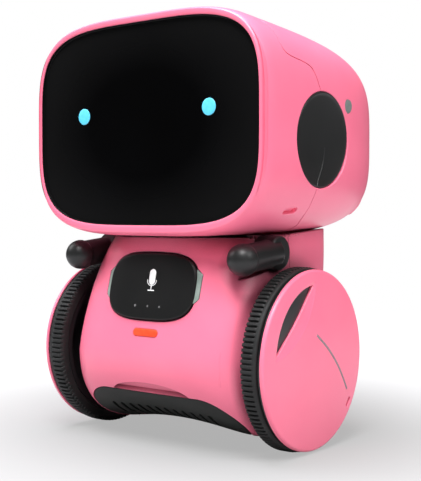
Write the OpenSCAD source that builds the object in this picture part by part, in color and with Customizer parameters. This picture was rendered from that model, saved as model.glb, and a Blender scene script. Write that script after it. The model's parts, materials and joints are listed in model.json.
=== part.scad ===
// Two-wheeled desk robot toy with a television-shaped head, short swinging arms and a talk button.
// X is across the robot, its face looks along -Y, Z is up. Lengths are in millimetres.

/* [Wheels] */
// Outside radius of a tyre, which is also the height of the axle
tyre_r = 27.3; // [26.5:0.1:28]
// Distance from the middle of the robot to the inner side of a tyre
tyre_in = 35.5; // [35.2:0.1:36]
// Width of a tyre
tyre_w = 5.6; // [5:0.1:6]
// Number of ribs round a tyre
tyre_ribs = 112; // [60:1:140]
// Radius of the round cover on the outside of a wheel
cover_r = 26.7; // [25:0.1:26.9]
// How far the cover bulges at its centre
cover_dome = 0.9; // [0.3:0.1:1.2]
// Radius of the steel half axle
axle_r = 1.5; // [1.2:0.1:1.7]

/* [Gears] */
// Gear module
gear_module = 0.5; // [0.5:0.1:0.5]
// Teeth of the wheel gear and of the large idler gear
wheel_teeth = 36; // [36:1:36]
// Teeth of the motor pinion and of the small idler gear
pinion_teeth = 10; // [10:1:10]

/* [Body] */
// Half width of the body
body_half_w = 33.3; // [33:0.1:33.5]
// Height of the neck's flat top
neck_top = 62.9; // [62.5:0.1:63]
// Wall thickness of the shells
wall = 1.8; // [1.6:0.1:2]

/* [Head] */
// Half width of the head at its front
head_half_w = 44.6; // [44:0.1:45]
// Half height of the head at its front
head_half_h = 33.2; // [33:0.1:33.3]
// Height of the middle of the head at its front
head_z = 96.9; // [96.8:0.1:97.2]
// Depth of the head from face to back
head_depth = 80.6; // [78:0.2:82]
// Distance from the axle forward to the head's front edge
head_reach = 28.2; // [28:0.1:28.6]
// Radius of an ear dish
ear_r = 14; // [12:0.5:14.5]

/* [Controls] */
// Half width of the talk button
button_half_w = 16.9; // [16:0.1:17.4]
// Half height of the talk button
button_half_h = 10; // [9.5:0.1:10.6]
// Length of an arm from its shoulder to the centre of its tip
arm_length = 15.4; // [14:0.2:16]
// How far an arm points below level at rest
arm_droop = 6; // [5:0.5:7]

/* [Hidden] */

LEFT = -1;
RIGHT = 1;
fit = 0.05;        // radial clearance of a running shaft
gap = 0.3;         // gap between pieces that move past each other
axle_z = tyre_r;
head_back = 0.994 * head_depth;    // where the last section closes the head's back
// The model's origin stands under the middle of its outline, so the axle lies ahead of it.
axle_y = head_reach - head_back / 2;

// ---- General shapes ----

function sign_pow(v, p) = sign(v) * pow(abs(v), p);
// Closed rounded-square outline with half sizes w and h; the power n sets how square it is.
function squircle(w, h, n, count = 48) =
    [for (i = [0:count - 1]) let (a = (i + 0.5) * 360 / count,
        r = pow(pow(abs(cos(a) / w), n) + pow(abs(sin(a) / h), n), -1 / n)) [r * cos(a), r * sin(a)]];

// Faces of a tube of rings with n points each; flip turns the faces round.
function ring_faces(n, rings) =
    [for (j = [0:rings - 2], i = [0:n - 1]) let (k = (i + 1) % n, a = j * n, b = a + n)
        [a + i, a + k, b + k, b + i]];

module along_x(x0, x1) { translate([x0, 0, 0]) rotate([0, 90, 0]) linear_extrude(x1 - x0) children(); }
module rod_x(x0, x1, r) { translate([x0, 0, 0]) rotate([0, 90, 0]) cylinder(h = x1 - x0, r = r, $fn = 64); }
module rod_y(y0, y1, r) { translate([0, y0, 0]) rotate([-90, 0, 0]) cylinder(h = y1 - y0, r = r, $fn = 64); }
// Extrudes an outline drawn in X and Z along Y.
module along_y(y0, y1) { translate([0, y1, 0]) rotate([90, 0, 0]) linear_extrude(y1 - y0) children(); }
module slot_outline(half_l, half_h) {
    square([2 * (half_l - half_h), 2 * half_h], center = true);
    for (s = [-1, 1]) translate([s * (half_l - half_h), 0]) circle(r = half_h, $fn = 64);
}
// Puts a piece that is drawn around the axle line into the model's frame.
module placed() { translate([0, axle_y, 0]) children(); }
// The left side is the mirror of the right one.
module on_side(side) { if (side > 0) children(); else mirror([1, 0, 0]) children(); }

// ---- Head form: rounded-square sections along Y ----

lip = 1.3;          // how much the front edge rounds in
lip_part = 0.07;    // part of the depth that it rounds over
head_drop = 3.7;    // how far the sections' middle sinks towards the back
head_steps = [0, 0.02, 0.045, 0.07, 0.16, 0.3, 0.45, 0.6, 0.72, 0.82, 0.9, 0.95, 0.98, head_back / head_depth];
function round_in(u) = let (f = min(u / lip_part, 1)) lip * (1 - sqrt(1 - (1 - f) * (1 - f)));
function head_w(u) = (head_half_w - round_in(u)) * (1 + 0.15 * u - 0.2 * u * u) * pow(1 - pow(u, 4.86), 1 / 4.86);
function head_h(u) = (head_half_h - round_in(u)) * (1 - 0.11 * u + 0.09 * u * u) * pow(1 - pow(u, 3.9), 1 / 3.9);
function head_ring(u, inset) =
    [for (p = squircle(head_w(u) - inset, head_h(u) - inset, 3.95 - 0.18 * u))
        [p[0], u * (head_depth - 2 * inset) - head_reach + inset, p[1] + head_z - head_drop * u]];

module head_form(inset) {
    rings = [for (u = head_steps) head_ring(u, inset)];
    n = len(rings[0]);
    last = (len(rings) - 1) * n;
    polyhedron([for (r = rings, p = r) p],
        concat(ring_faces(n, len(rings)), [[for (i = [n - 1:-1:0]) i], [for (i = [0:n - 1]) last + i]]));
}

face_w = 42.9;      // half width of the face opening
face_h = 30.2;
face_z = 97.1;
lens_front = -head_reach + 1.2;
lens_back = lens_front + 2.4;
eye_x = 24.7;
eye_z = 100.6;
ear_y = 0.8;
ear_z = 91.8;
ear_x = 45.1;
ear_tilt = 3.6;
dot_y = 15.5;
dot_z = 102.8;
head_screw_x = 33;
head_screw_dz = 20;
head_screw_head = 36;
frame_back = lens_back + 1.4;
yaw_y = 6;          // the neck's turning axis, behind the axle
spindle_r = 8;

// Everything ahead of the seam between the two head shells, which sweeps back past the ear.
module ahead_of_head_seam() {
    along_x(-60, 60) mirror([1, 0]) polygon([[50, -40], [140, -40], [140, -18], [115.5, -18], [113.5, -9],
        [110.5, -2.5], [104, -0.8], [97, 2.5], [90, 4.5], [84, 2.5], [78, -0.8], [72, -1.2], [68.5, 0], [66, 3.5],
        [50, 3.5]]);
}
module ear_axis() { translate([ear_x, ear_y, ear_z]) rotate([0, ear_tilt, 0]) children(); }
module head_posts(y0, y1, r) {
    for (x = [-1, 1], z = [-1, 1]) translate([x * head_screw_x, 0, 93.5 + z * head_screw_dz]) rod_y(y0, y1, r);
}
module head_openings() {
    along_y(-40, lens_back) translate([0, face_z]) polygon(squircle(face_w, face_h, 4));
    translate([0, yaw_y, 50]) cylinder(h = 20, r = spindle_r, $fn = 96);
    for (s = [LEFT, RIGHT]) on_side(s) {
        ear_axis() rod_x(-8, 8, ear_r + 0.2);
        translate([0, dot_y, dot_z]) rod_x(40, 50, 2.1);
        translate([40.2, -12.6, 70.3]) cube([6, 5.8, 1.5]);
    }
}

module head_front_shell() {
    color("hotpink") difference() {
        intersection() { head_form(0); ahead_of_head_seam(); }
        head_form(wall);
        head_openings();
    }
}

module head_rear_shell() {
    color("hotpink") difference() {
        head_form(0);
        ahead_of_head_seam();
        head_form(wall);
        head_openings();
        head_posts(head_screw_head - 1, 60, 2.3);
        head_posts(20, 60, 1.05);
    }
    color("hotpink") difference() {
        intersection() {
            head_form(1);
            head_posts(20, head_screw_head - 1, 3.2);
        }
        head_posts(7, 60, 1.05);
    }
}

module face_lens() {
    color("black") difference() {
        along_y(lens_front, lens_back) translate([0, face_z]) polygon(squircle(face_w - 0.15, face_h - 0.15, 4));
        for (s = [-1, 1]) translate([s * eye_x, 0, eye_z]) rod_y(-40, -20, 2.6);
    }
}
// Frame behind the lens: it holds the eye board and the four posts that the head screws reach.
module face_frame() {
    color([0.1, 0.1, 0.1]) difference() {
        union() {
            along_y(lens_back, frame_back) translate([0, face_z]) polygon(squircle(face_w - 0.8, face_h - 0.6, 4));
            head_posts(frame_back, 20, 2.6);
        }
        for (s = [-1, 1]) translate([s * eye_x, 0, eye_z]) rod_y(-40, -10, 2.6);
        head_posts(0, 30, 0.9);
    }
}
module eye_lights() {
    color("deepskyblue") for (s = [-1, 1]) translate([s * eye_x, 0, eye_z]) rod_y(lens_front, lens_back + 3, 2.6);
}
module eye_board() {
    color("green") translate([-29, frame_back + 1.6, eye_z - 9]) cube([58, 1.2, 18]);
}
module ear_dish() {
    dish = 1.6;
    ball_r = (ear_r * ear_r + dish * dish) / (2 * dish);
    color([0.2, 0.2, 0.2]) ear_axis() difference() {
        rod_x(-3.4, 0, ear_r);
        translate([ball_r - dish, 0, 0]) sphere(r = ball_r, $fn = 128);
    }
}
module ear_dish_left() { on_side(LEFT) ear_dish(); }
module ear_dish_right() { on_side(RIGHT) ear_dish(); }
module sensor_dots() {
    color("gray") for (s = [LEFT, RIGHT]) on_side(s) translate([0, dot_y, dot_z]) rod_x(42.5, 45.3, 2.1);
}
module head_screws() {
    color("silver") {
        head_posts(head_screw_head - 1, head_screw_head, 2.1);
        head_posts(12, head_screw_head - 1, 0.9);
    }
}

// ---- Neck: a hollow spindle of the head turns in the body's top ----

washer_top = neck_top + 0.65;
flange_z = 65.9;
module neck_tube(z0, z1, r0, r1) {
    translate([0, yaw_y, z0]) difference() {
        cylinder(h = z1 - z0, r = r1, $fn = 96);
        translate([0, 0, -1]) cylinder(h = z1 - z0 + 2, r = r0, $fn = 96);
    }
}
module neck_spindle() {
    color("dimgray") {
        neck_tube(57.5, flange_z, 5.5, spindle_r);
        neck_tube(flange_z, flange_z + 1.4, 5.5, 13);
    }
}
module neck_washer() { color("white") neck_tube(neck_top + 0.05, washer_top - 0.1, spindle_r, 11.5); }
module neck_retainer() { color("silver") neck_tube(neck_top - wall - 1.4, neck_top - wall - 0.1, spindle_r, 11); }

// ---- Body form: a round barrel on the axle line that rises into a neck ----

barrel_r = 27.3;
neck_lean = 9.8;    // how far the neck's widest line lies behind the axle
barrel_drop = 21.6; // depth of the barrel's underside below the axle at the middle
barrel_flare = 3.5; // how much deeper it is near the wheels
ring_count = 48;
rise_steps = [1, 0.86, 0.72, 0.58, 0.44, 0.3, 0.16, 0];
fall_angles = [15, 30, 45, 60, 75, 87];
function rise(z) = (z - axle_z) / (neck_top - axle_z);
function neck_mid(t) = neck_lean * pow(t, 1.5);
function front_b(t) = barrel_r + 3.3 * t * t * t;
function back_b(t) = barrel_r - 3.1 * t;
function front_n(t) = 8 - 5.6 * pow(t, 0.85);
function back_n(t) = 8 - 4.65 * t;
// The side walls are thicker round the shoulders.
function side_inset(z) = wall + 4.2 * min(1, max(0, (z - 45) / 7));
// Front and back sag of the barrel towards its ends
function waist(x, t) = 1 - 0.07 * (1 - t) * pow(x / body_half_w, 2);
function body_point(a, t, inset) =
    let (z = axle_z + t * (neck_top - axle_z), front = sin(a) < 0,
         w = body_half_w - 0.5 * t - (inset > 0 ? side_inset(z) : 0),
         b = (front ? front_b(t) : back_b(t)) - inset,
         n = front ? front_n(t) : back_n(t),
         r = pow(pow(abs(cos(a) / w), n) + pow(abs(sin(a) / b), n), -1 / n))
    [r * cos(a), neck_mid(t) + r * sin(a) * waist(r * cos(a), t), z - (t == 1 ? inset : 0)];
function body_ring(t, inset) = [for (i = [0:ring_count - 1]) body_point((i + 0.5) * 360 / ring_count, t, inset)];
function fallen(p, down, inset) =
    let (k = min(1, abs(p[1]) / ((barrel_r - inset) * waist(p[0], 0))),
         d = barrel_drop + barrel_flare * pow(min(abs(p[0]) / 29.5, 1), 2) - inset)
    [p[0], p[1] * pow(cos(down), 0.91), axle_z - d * k * pow(sin(down), 0.91)];

// The neck's rim rises to the back. It stays just below the lowest place that the turning head's underside reaches.
rim_w = 2.2;
function rim_z(p) = neck_top + 0.4 + 0.073 * max(0, p[1] + 12) * (0.3 + 0.7 * pow(p[0] / 32.8, 2));

module body_form(inset) {
    rim = inset > 0 ? [] : [
        [for (p = body_ring(1, rim_w)) [p[0], p[1], neck_top]],
        [for (p = body_ring(1, 0)) [p[0], p[1], rim_z(p)]]];
    rings = concat(rim, [for (t = rise_steps) body_ring(t, inset)],
        [for (d = fall_angles) [for (p = body_ring(0, inset)) fallen(p, d, inset)]]);
    n = ring_count;
    last = (len(rings) - 1) * n;
    polyhedron([for (r = rings, p = r) p], concat(
        ring_faces(n, len(rings)), [[for (i = [n - 1:-1:0]) i]],
        [for (i = [0:n / 2 - 2]) [last + i, last + i + 1, last + n - 2 - i, last + n - 1 - i]]));
}
// Y of the body's front surface at a place on it, above the axle
function front_y(x, z) = let (t = rise(z), n = front_n(t))
    neck_mid(t) - front_b(t) * pow(1 - pow(abs(x) / (body_half_w - 0.5 * t), n), 1 / n) * waist(x, t);

split_y = 2;        // plane of the seam between the body shells
button_z = 48.6;
button_n = 3.2;
button_back = -17.5;
button_travel = 0.8;
lamp_z = 34.8;
lamp_half_w = 4.8;
lamp_half_h = 1.1;
grille_angle = 43;
grille_half_l = 29.4;
grille_half_h = 12;
grille_drop = 3.5;  // how far the grille's middle line lies below its axis
grille_slots = 12;
grille_pitch = 3.5;
slot_drop = 2.2;    // how far the slots' middle lies below the axis
slot_half_l = 4;
door_low = [-24, 12, 14];
door_size = [48, 20, 28];
switch_z = 50;
shoulder = [32.7, -5.8, 58.9];
arm_side = 28.2;    // distance from the middle to an arm's inner side
pocket_side = 28;
hub_r = 5.2;
hub_out = 35.2;     // outer side of the shoulder hub, just inside the tyre
arm_rod_r = 4.2;
arm_down = 8;       // how far an arm swings down from rest
tip_r = 4.7;
pin_r = 1.6;
body_screw = [22, 0, 56];
screw_seat = 27.5;
bush_r = 4;
glide_y = 19;
glide_r = 3.5;

// Looks from the axle line out through the middle of the grille.
module grille_axis() { translate([0, 0, axle_z]) rotate([90 + grille_angle, 0, 0]) children(); }
module grille_outline(less) {
    grille_axis() translate([0, -grille_drop, 0]) linear_extrude(40)
        slot_outline(grille_half_l - less, grille_half_h - less);
}
module button_outline(extra) {
    translate([0, button_z]) polygon(squircle(button_half_w + extra, button_half_h + extra, button_n));
}
module light_tabs(extra) {
    for (s = [-1, 1]) translate([s * 17.7, button_z + 0.2]) square([2.6 + 2 * extra, 7.2 + 2 * extra], center = true);
}
// Room beside the neck for a swinging arm
module arm_pocket() {
    translate([0, shoulder[1], shoulder[2]]) rod_x(pocket_side, 40, hub_r + gap + 0.4);
    translate([pocket_side, -30, shoulder[2]]) cube([20, 30 + shoulder[1], 20]);
    translate([pocket_side, shoulder[1], shoulder[2]]) rotate([arm_droop + arm_down, 0, 0])
        translate([0, -40, -arm_rod_r - gap - 0.1]) cube([20, 40, 20]);
}

module body_front_shell() {
    color("hotpink") difference() {
        body_form(0);
        body_form(wall);
        translate([-50, split_y, -10]) cube([100, 100, 100]);
        along_y(-40, button_back + 2) { button_outline(gap); light_tabs(0.1); }
        along_y(-40, -10) translate([0, lamp_z]) slot_outline(lamp_half_w + 0.1, lamp_half_h + 0.1);
        grille_outline(0);
        translate([0, yaw_y, 50]) cylinder(h = 20, r = spindle_r + fit, $fn = 96);
        for (s = [LEFT, RIGHT]) on_side(s) {
            arm_pocket();
            translate([0, shoulder[1], shoulder[2]]) rod_x(20, 40, pin_r + fit);
            translate([0, 0, axle_z]) rod_x(28, 40, bush_r);
        }
    }
}

module body_rear_shell() {
    color("hotpink") difference() {
        body_form(0);
        body_form(wall);
        translate([-50, split_y - 100, -10]) cube([100, 100, 100]);
        translate(door_low) cube(door_size);
        translate([0, yaw_y, 50]) cylinder(h = 20, r = spindle_r + fit, $fn = 96);
        along_y(20, 40) translate([0, switch_z]) square([7, 3.2], center = true);
        for (s = [LEFT, RIGHT]) on_side(s) {
            translate([0, 0, axle_z]) rod_x(28, 40, bush_r);
            translate(body_screw) rod_y(screw_seat, 40, 2.3);
            translate(body_screw) rod_y(20, 40, 1.05);
        }
    }
    color("hotpink") for (s = [LEFT, RIGHT]) on_side(s) translate(body_screw) difference() {
        rod_y(split_y, screw_seat, 3);
        rod_y(split_y - 1, 40, 1.05);
    }
}

module speaker_grille() {
    color([0.22, 0.22, 0.21]) difference() {
        intersection() {
            body_form(0.2);
            grille_outline(0.15);
        }
        body_form(wall);
        grille_axis() for (i = [0:grille_slots - 1])
            translate([(i - (grille_slots - 1) / 2) * grille_pitch - 0.6, -slot_drop - slot_half_l, 10])
                cube([1.2, 2 * slot_half_l, 30]);
    }
}
module speaker() {
    color([0.15, 0.15, 0.15]) grille_axis() translate([0, 0, 12.5]) difference() {
        cylinder(h = 3.5, r = 10.5, $fn = 96);
        translate([0, 0, 1]) cylinder(h = 5, r1 = 4.5, r2 = 11, $fn = 96);
    }
}
module speaker_magnet() { color("silver") grille_axis() translate([0, 0, 8.5]) cylinder(h = 4, r = 6.5, $fn = 64); }
module lamp_window() {
    color("orangered") along_y(front_y(0, lamp_z) - 0.25, front_y(0, lamp_z) + 2.4)
        translate([0, lamp_z]) slot_outline(lamp_half_w, lamp_half_h);
}

// The button's cap follows the body's curve and stands a little proud of it.
module talk_button() {
    steps = [0, 0.25, 0.5, 0.75, 0.92, 1];
    proud = 0.9;
    outline = squircle(button_half_w, button_half_h, button_n);
    n = len(outline);
    cap = [for (s = steps) [for (p = outline)
        let (x = p[0] * max(s, 0.02), z = button_z + p[1] * max(s, 0.02))
        [x, front_y(x, z) - proud * sqrt(max(0, 1 - pow(max(s - 0.7, 0) / 0.3, 2))) - 0.15, z]]];
    back = [for (p = outline) [p[0], button_back, button_z + p[1]]];
    last = len(steps) * n;
    color([0.18, 0.18, 0.18]) polyhedron([for (r = concat(cap, [back]), p = r) p],
        concat([for (f = ring_faces(n, len(steps) + 1)) [f[3], f[2], f[1], f[0]]],
            [[for (i = [0:n - 1]) i], [for (i = [n - 1:-1:0]) last + i]]));
}
module button_light_guide() {
    color([0.6, 0.68, 0.64]) {
        translate([-19, button_back + button_travel + gap + 0.1, button_z - 1.5]) cube([38, 0.9, 3]);
        along_y(-22.9, button_back + button_travel + 1.3) difference() {
            light_tabs(0);
            button_outline(gap);
        }
    }
}
board_front = -14.6;
module talk_switch() {
    color("black") translate([-2.5, board_front - 1.4, button_z - 7.5]) cube([5, 1.4, 5]);
    color("white") translate([0, 0, button_z - 5]) rod_y(board_front - 2, board_front - 1.4, 1.2);
}
module microphone() { color("silver") translate([0, 0, 56.6]) rod_y(board_front - 1.5, board_front, 2); }
module main_board() { color("green") translate([-19, board_front, 38.5]) cube([38, 1.2, 20]); }

cell_spots = [[15, 16.8], [16.4, 27.35], [15, 37.9]];
cell_r = 5.15;
cell_half_l = 22.2;
module battery_tray() {
    color("dimgray") difference() {
        translate([-cell_half_l - 1.6, 8.4, 11.4]) cube([2 * cell_half_l + 3.2, 6, 32]);
        for (c = cell_spots) translate([0, c[0], c[1]]) rod_x(-cell_half_l - 0.8, cell_half_l + 0.8, cell_r + 0.1);
    }
}
module battery_cells() {
    color("gold") for (c = cell_spots) translate([0, c[0], c[1]]) {
        rod_x(-cell_half_l, cell_half_l - 0.8, cell_r);
        rod_x(cell_half_l - 0.8, cell_half_l, 1.8);
    }
}
module battery_contacts() {
    color("silver") for (c = cell_spots, s = [-1, 1])
        translate([s * (cell_half_l + 0.4) - 0.2, c[0] - 4, c[1] - 3]) cube([0.4, 3.2, 6]);
}
module battery_door() {
    color("hotpink") difference() {
        intersection() {
            body_form(0);
            translate(door_low + [0.15, 0, 0.15]) cube(door_size - [0.3, 0, 0.3]);
        }
        body_form(wall);
        translate([0, 0, 40]) rod_y(22, 40, 1.05);
        translate([0, 0, 40]) rod_y(26, 40, 2);
    }
}
module battery_door_screw() {
    color("silver") translate([0, 0, 40]) {
        rod_y(25, 26, 1.85);
        rod_y(22, 25, 1.05);
    }
}
module power_switch() { color("black") translate([-5, 22.6, switch_z - 2.5]) cube([10, 4, 5]); }
knob_x = -1.5;
module power_knob() {
    color("black") translate([knob_x, 0, switch_z]) {
        translate([-3.2, 26.9, -2.4]) cube([6.4, 1, 4.8]);
        translate([-1.7, 27.9, -1.3]) cube([3.4, 3.1, 2.6]);
    }
}
module body_screws() {
    color("silver") for (s = [LEFT, RIGHT]) on_side(s) translate(body_screw) {
        rod_y(screw_seat, screw_seat + 1.2, 2.1);
        rod_y(10, screw_seat, 1.05);
    }
}
// A foot behind the axle whose top is shaped by the barrel
module rear_glide() {
    color("dimgray") difference() {
        translate([0, glide_y, 0]) {
            cylinder(h = 2, r1 = glide_r - 1, r2 = glide_r, $fn = 64);
            translate([0, 0, 2]) cylinder(h = 12, r = glide_r, $fn = 64);
        }
        body_form(0);
    }
}

// ---- Drive of one wheel: motor pinion, two-step idler, gear on the half axle ----

centre_distance = gear_module * (wheel_teeth + pinion_teeth) / 2;
idler_angle = 134;  // direction from the axle to the idler, from the back (+Y) upwards
pinion_angle = 80;  // direction from the idler to the motor pinion
function toward(a) = [0, centre_distance * cos(a), centre_distance * sin(a)];
axle_at = [0, 0, axle_z];
idler_at = axle_at + toward(idler_angle);
pinion_at = idler_at + toward(pinion_angle);
wheel_pitch = 360 / wheel_teeth;
pinion_pitch = 360 / pinion_teeth;

pressure = 20;
backlash = 0.14;
function inv_angle(a) = tan(a) * 180 / PI - a;
function flank(teeth, r) = let (rp = gear_module * teeth / 2, rb = rp * cos(pressure))
    90 / teeth - backlash / rp * 90 / PI + inv_angle(pressure) - (r > rb ? inv_angle(acos(rb / r)) : 0);
function gear_outline(teeth) = let (rp = gear_module * teeth / 2, rb = rp * cos(pressure),
    root = rp - 0.9 * gear_module, tip = rp + 0.65 * gear_module, low = max(rb, root),
    radii = [root, low + 0.01, (low + tip) / 2, tip])
    [for (k = [0:teeth - 1], side = [-1, 1], i = [0:3])
        let (r = radii[side < 0 ? i : 3 - i], a = k * 360 / teeth + side * flank(teeth, r)) r * [cos(a), sin(a)]];

// A gear between two planes, turned so that a tooth points in the direction phase, from +Y upwards
module gear_x(x0, x1, teeth, phase, bore) {
    translate([x0, 0, 0]) rotate([90, 0, 90]) linear_extrude(x1 - x0) difference() {
        rotate(phase) polygon(gear_outline(teeth));
        circle(r = bore, $fn = 64);
    }
}
plate_x = 24.2;
plate_t = 1.2;
idler_pin_r = 1;
shaft_r = 0.75;
module motor() {
    color("silver") translate(pinion_at) difference() {
        intersection() {
            rod_x(9, plate_x, 6);
            translate([0, -7, -5]) cube([40, 14, 10]);
        }
        rod_x(18, 30, shaft_r + fit);
    }
}
module gear_plate() {
    color("ivory") difference() {
        union() {
            translate([plate_x, -14, 18]) cube([plate_t, 22, 26]);
            translate([plate_x, -11.5, 44]) cube([plate_t, 12.5, 6.5]);
        }
        translate(axle_at) rod_x(20, 30, axle_r + fit);
        translate(pinion_at) rod_x(20, 30, shaft_r + 2 * fit);
    }
    color("silver") translate(idler_at) rod_x(plate_x + plate_t, 31.2, idler_pin_r);
}
module axle_bush() {
    color("gray") translate(axle_at) difference() {
        rod_x(body_half_w - wall - 0.2, body_half_w + 0.1, bush_r);
        rod_x(20, 40, axle_r + fit);
    }
}
module motor_pinion() {
    color("white") translate(pinion_at) {
        gear_x(26, 28, pinion_teeth, pinion_angle + 180 + pinion_pitch / 2, shaft_r);
        rod_x(18.2, 28, shaft_r);
    }
}
// The idler's large gear has a tooth towards the motor pinion, its small gear one towards the axle.
module idler_gear() {
    color("white") translate(idler_at) {
        gear_x(26, 27.8, wheel_teeth, pinion_angle, idler_pin_r + fit);
        gear_x(27.8, 30.8, pinion_teeth, idler_angle + 180, idler_pin_r + fit);
    }
}
module axle_gear() {
    color("white") translate(axle_at) gear_x(28.2, 30.6, wheel_teeth, idler_angle + wheel_pitch / 2, axle_r);
}
module axle() {
    color("silver") translate(axle_at) rod_x(22, cover_back, axle_r);
}

hub_face = tyre_in + tyre_w + 0.1;
cover_back = hub_face + 0.2;
cover_rim = 43.2;
rim_r = 23.4;
// One turned hub: a boss on the axle, a front plate and the drum that holds the tyre
module wheel_hub() {
    color([0.12, 0.12, 0.12]) translate(axle_at) rotate([0, 90, 0]) rotate_extrude($fn = 128)
        polygon([[axle_r, 34], [4, 34], [4, hub_face - 1.4], [rim_r - 1.6, hub_face - 1.4],
            [rim_r - 1.6, tyre_in + 0.2], [rim_r, tyre_in + 0.2], [rim_r, hub_face], [axle_r, hub_face]]);
}
module tyre() {
    rib = 0.7;
    pitch = 360 / tyre_ribs;
    shoulder_w = 1.7;
    x1 = tyre_in + tyre_w;
    x0 = x1 - shoulder_w;
    // One rib: root, flank, flat top and flank, as [part of a pitch, radius]
    rib_points = [[-0.5, tyre_r - rib], [-0.24, tyre_r - rib], [-0.2, tyre_r], [0.2, tyre_r], [0.24, tyre_r - rib]];
    color([0.18, 0.19, 0.19]) translate(axle_at) difference() {
        union() {
            along_x(tyre_in, x0) polygon([for (i = [0:tyre_ribs - 1], c = rib_points)
                let (a = (i + c[0]) * pitch) c[1] * [cos(a), sin(a)]]);
            rotate([0, 90, 0]) rotate_extrude($fn = 128)
                polygon([[0, x0 - 1], [tyre_r - 0.25, x0 - 1], [tyre_r - 0.25, x1 - 0.7], [tyre_r - 0.9, x1], [0, x1]]);
        }
        rod_x(30, 50, rim_r);
    }
}
// Cover: rounded rim, shallow dome, and a crescent window near the front
module wheel_cover() {
    rim_round = 0.8;
    dome_r = (cover_r * cover_r + cover_dome * cover_dome) / (2 * cover_dome);
    thick = cover_rim - cover_back + cover_dome;
    color("hotpink") translate(axle_at) difference() {
        translate([cover_back, 0, 0]) rotate([0, 90, 0]) rotate_extrude($fn = 128) intersection() {
            union() {
                square([cover_r - rim_round, thick]);
                square([cover_r, cover_rim - cover_back - rim_round]);
                translate([cover_r - rim_round, cover_rim - cover_back - rim_round]) circle(r = rim_round, $fn = 64);
            }
            translate([0, thick - dome_r]) intersection() {
                circle(r = dome_r, $fn = 360);
                translate([0, dome_r - 10]) square([cover_r + 1, 20]);
            }
        }
        crescent_cut();
    }
}
// Two arcs between the same tips bound the crescent, drawn about the axle as [Y, Z].
crescent_mid = [-10.6, 12.6];
crescent_half = 13.6;
crescent_turn = 45;
module crescent_cut() {
    outer_sag = 3.6;
    inner_sag = 0.5;
    outer_rad = (crescent_half * crescent_half + outer_sag * outer_sag) / (2 * outer_sag);
    inner_rad = (crescent_half * crescent_half + inner_sag * inner_sag) / (2 * inner_sag);
    translate([40, 0, 0]) rotate([90, 0, 90]) linear_extrude(10) translate(crescent_mid) rotate(crescent_turn)
        intersection() {
            translate([0, outer_sag - outer_rad]) circle(r = outer_rad, $fn = 128);
            translate([0, inner_rad - inner_sag]) circle(r = inner_rad, $fn = 360);
        }
}

// ---- Arms ----

module arm() {
    color([0.14, 0.14, 0.14]) translate(shoulder) {
        rod_x(arm_side - shoulder[0], hub_out - 0.9 - shoulder[0], hub_r);
        translate([hub_out - 0.9 - shoulder[0], 0, 0]) rotate([0, 90, 0]) cylinder(h = 0.9, r1 = hub_r, r2 = 4.4, $fn = 64);
        rotate([arm_droop, 0, 0]) translate([-0.25, 0, 0]) {
            rod_y(-arm_length, 0, arm_rod_r);
            translate([0, -arm_length, 0]) sphere(r = tip_r, $fn = 64);
        }
    }
}
module shoulder_pin() { color("silver") translate([0, shoulder[1], shoulder[2]]) rod_x(21.8, arm_side, pin_r); }
module shoulder_clip() {
    color("silver") translate([0, shoulder[1], shoulder[2]]) difference() {
        rod_x(22.2, 22.8, 2);
        rod_x(20, 30, pin_r);
    }
}

module motor_left() { on_side(LEFT) motor(); }
module motor_right() { on_side(RIGHT) motor(); }
module gear_plate_left() { on_side(LEFT) gear_plate(); }
module gear_plate_right() { on_side(RIGHT) gear_plate(); }
module axle_bush_left() { on_side(LEFT) axle_bush(); }
module axle_bush_right() { on_side(RIGHT) axle_bush(); }
module motor_pinion_left() { on_side(LEFT) motor_pinion(); }
module motor_pinion_right() { on_side(RIGHT) motor_pinion(); }
module idler_gear_left() { on_side(LEFT) idler_gear(); }
module idler_gear_right() { on_side(RIGHT) idler_gear(); }
module axle_gear_left() { on_side(LEFT) axle_gear(); }
module axle_gear_right() { on_side(RIGHT) axle_gear(); }
module axle_left() { on_side(LEFT) axle(); }
module axle_right() { on_side(RIGHT) axle(); }
module wheel_hub_left() { on_side(LEFT) wheel_hub(); }
module wheel_hub_right() { on_side(RIGHT) wheel_hub(); }
module tyre_left() { on_side(LEFT) tyre(); }
module tyre_right() { on_side(RIGHT) tyre(); }
module wheel_cover_left() { on_side(LEFT) wheel_cover(); }
module wheel_cover_right() { on_side(RIGHT) wheel_cover(); }
module arm_left() { on_side(LEFT) arm(); }
module arm_right() { on_side(RIGHT) arm(); }
module shoulder_pin_left() { on_side(LEFT) shoulder_pin(); }
module shoulder_pin_right() { on_side(RIGHT) shoulder_pin(); }
module shoulder_clip_left() { on_side(LEFT) shoulder_clip(); }
module shoulder_clip_right() { on_side(RIGHT) shoulder_clip(); }

placed() head_front_shell();
placed() head_rear_shell();
placed() face_lens();
placed() face_frame();
placed() eye_lights();
placed() eye_board();
placed() ear_dish_left();
placed() ear_dish_right();
placed() sensor_dots();
placed() head_screws();
placed() neck_spindle();
placed() neck_washer();
placed() neck_retainer();
placed() body_front_shell();
placed() body_rear_shell();
placed() speaker_grille();
placed() speaker();
placed() speaker_magnet();
placed() lamp_window();
placed() button_light_guide();
placed() talk_button();
placed() talk_switch();
placed() microphone();
placed() main_board();
placed() battery_tray();
placed() battery_cells();
placed() battery_contacts();
placed() battery_door();
placed() battery_door_screw();
placed() power_switch();
placed() power_knob();
placed() body_screws();
placed() rear_glide();
placed() motor_left();
placed() motor_right();
placed() gear_plate_left();
placed() gear_plate_right();
placed() axle_bush_left();
placed() axle_bush_right();
placed() motor_pinion_left();
placed() motor_pinion_right();
placed() idler_gear_left();
placed() idler_gear_right();
placed() axle_gear_left();
placed() axle_gear_right();
placed() axle_left();
placed() axle_right();
placed() wheel_hub_left();
placed() wheel_hub_right();
placed() tyre_left();
placed() tyre_right();
placed() wheel_cover_left();
placed() wheel_cover_right();
placed() arm_left();
placed() arm_right();
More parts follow.
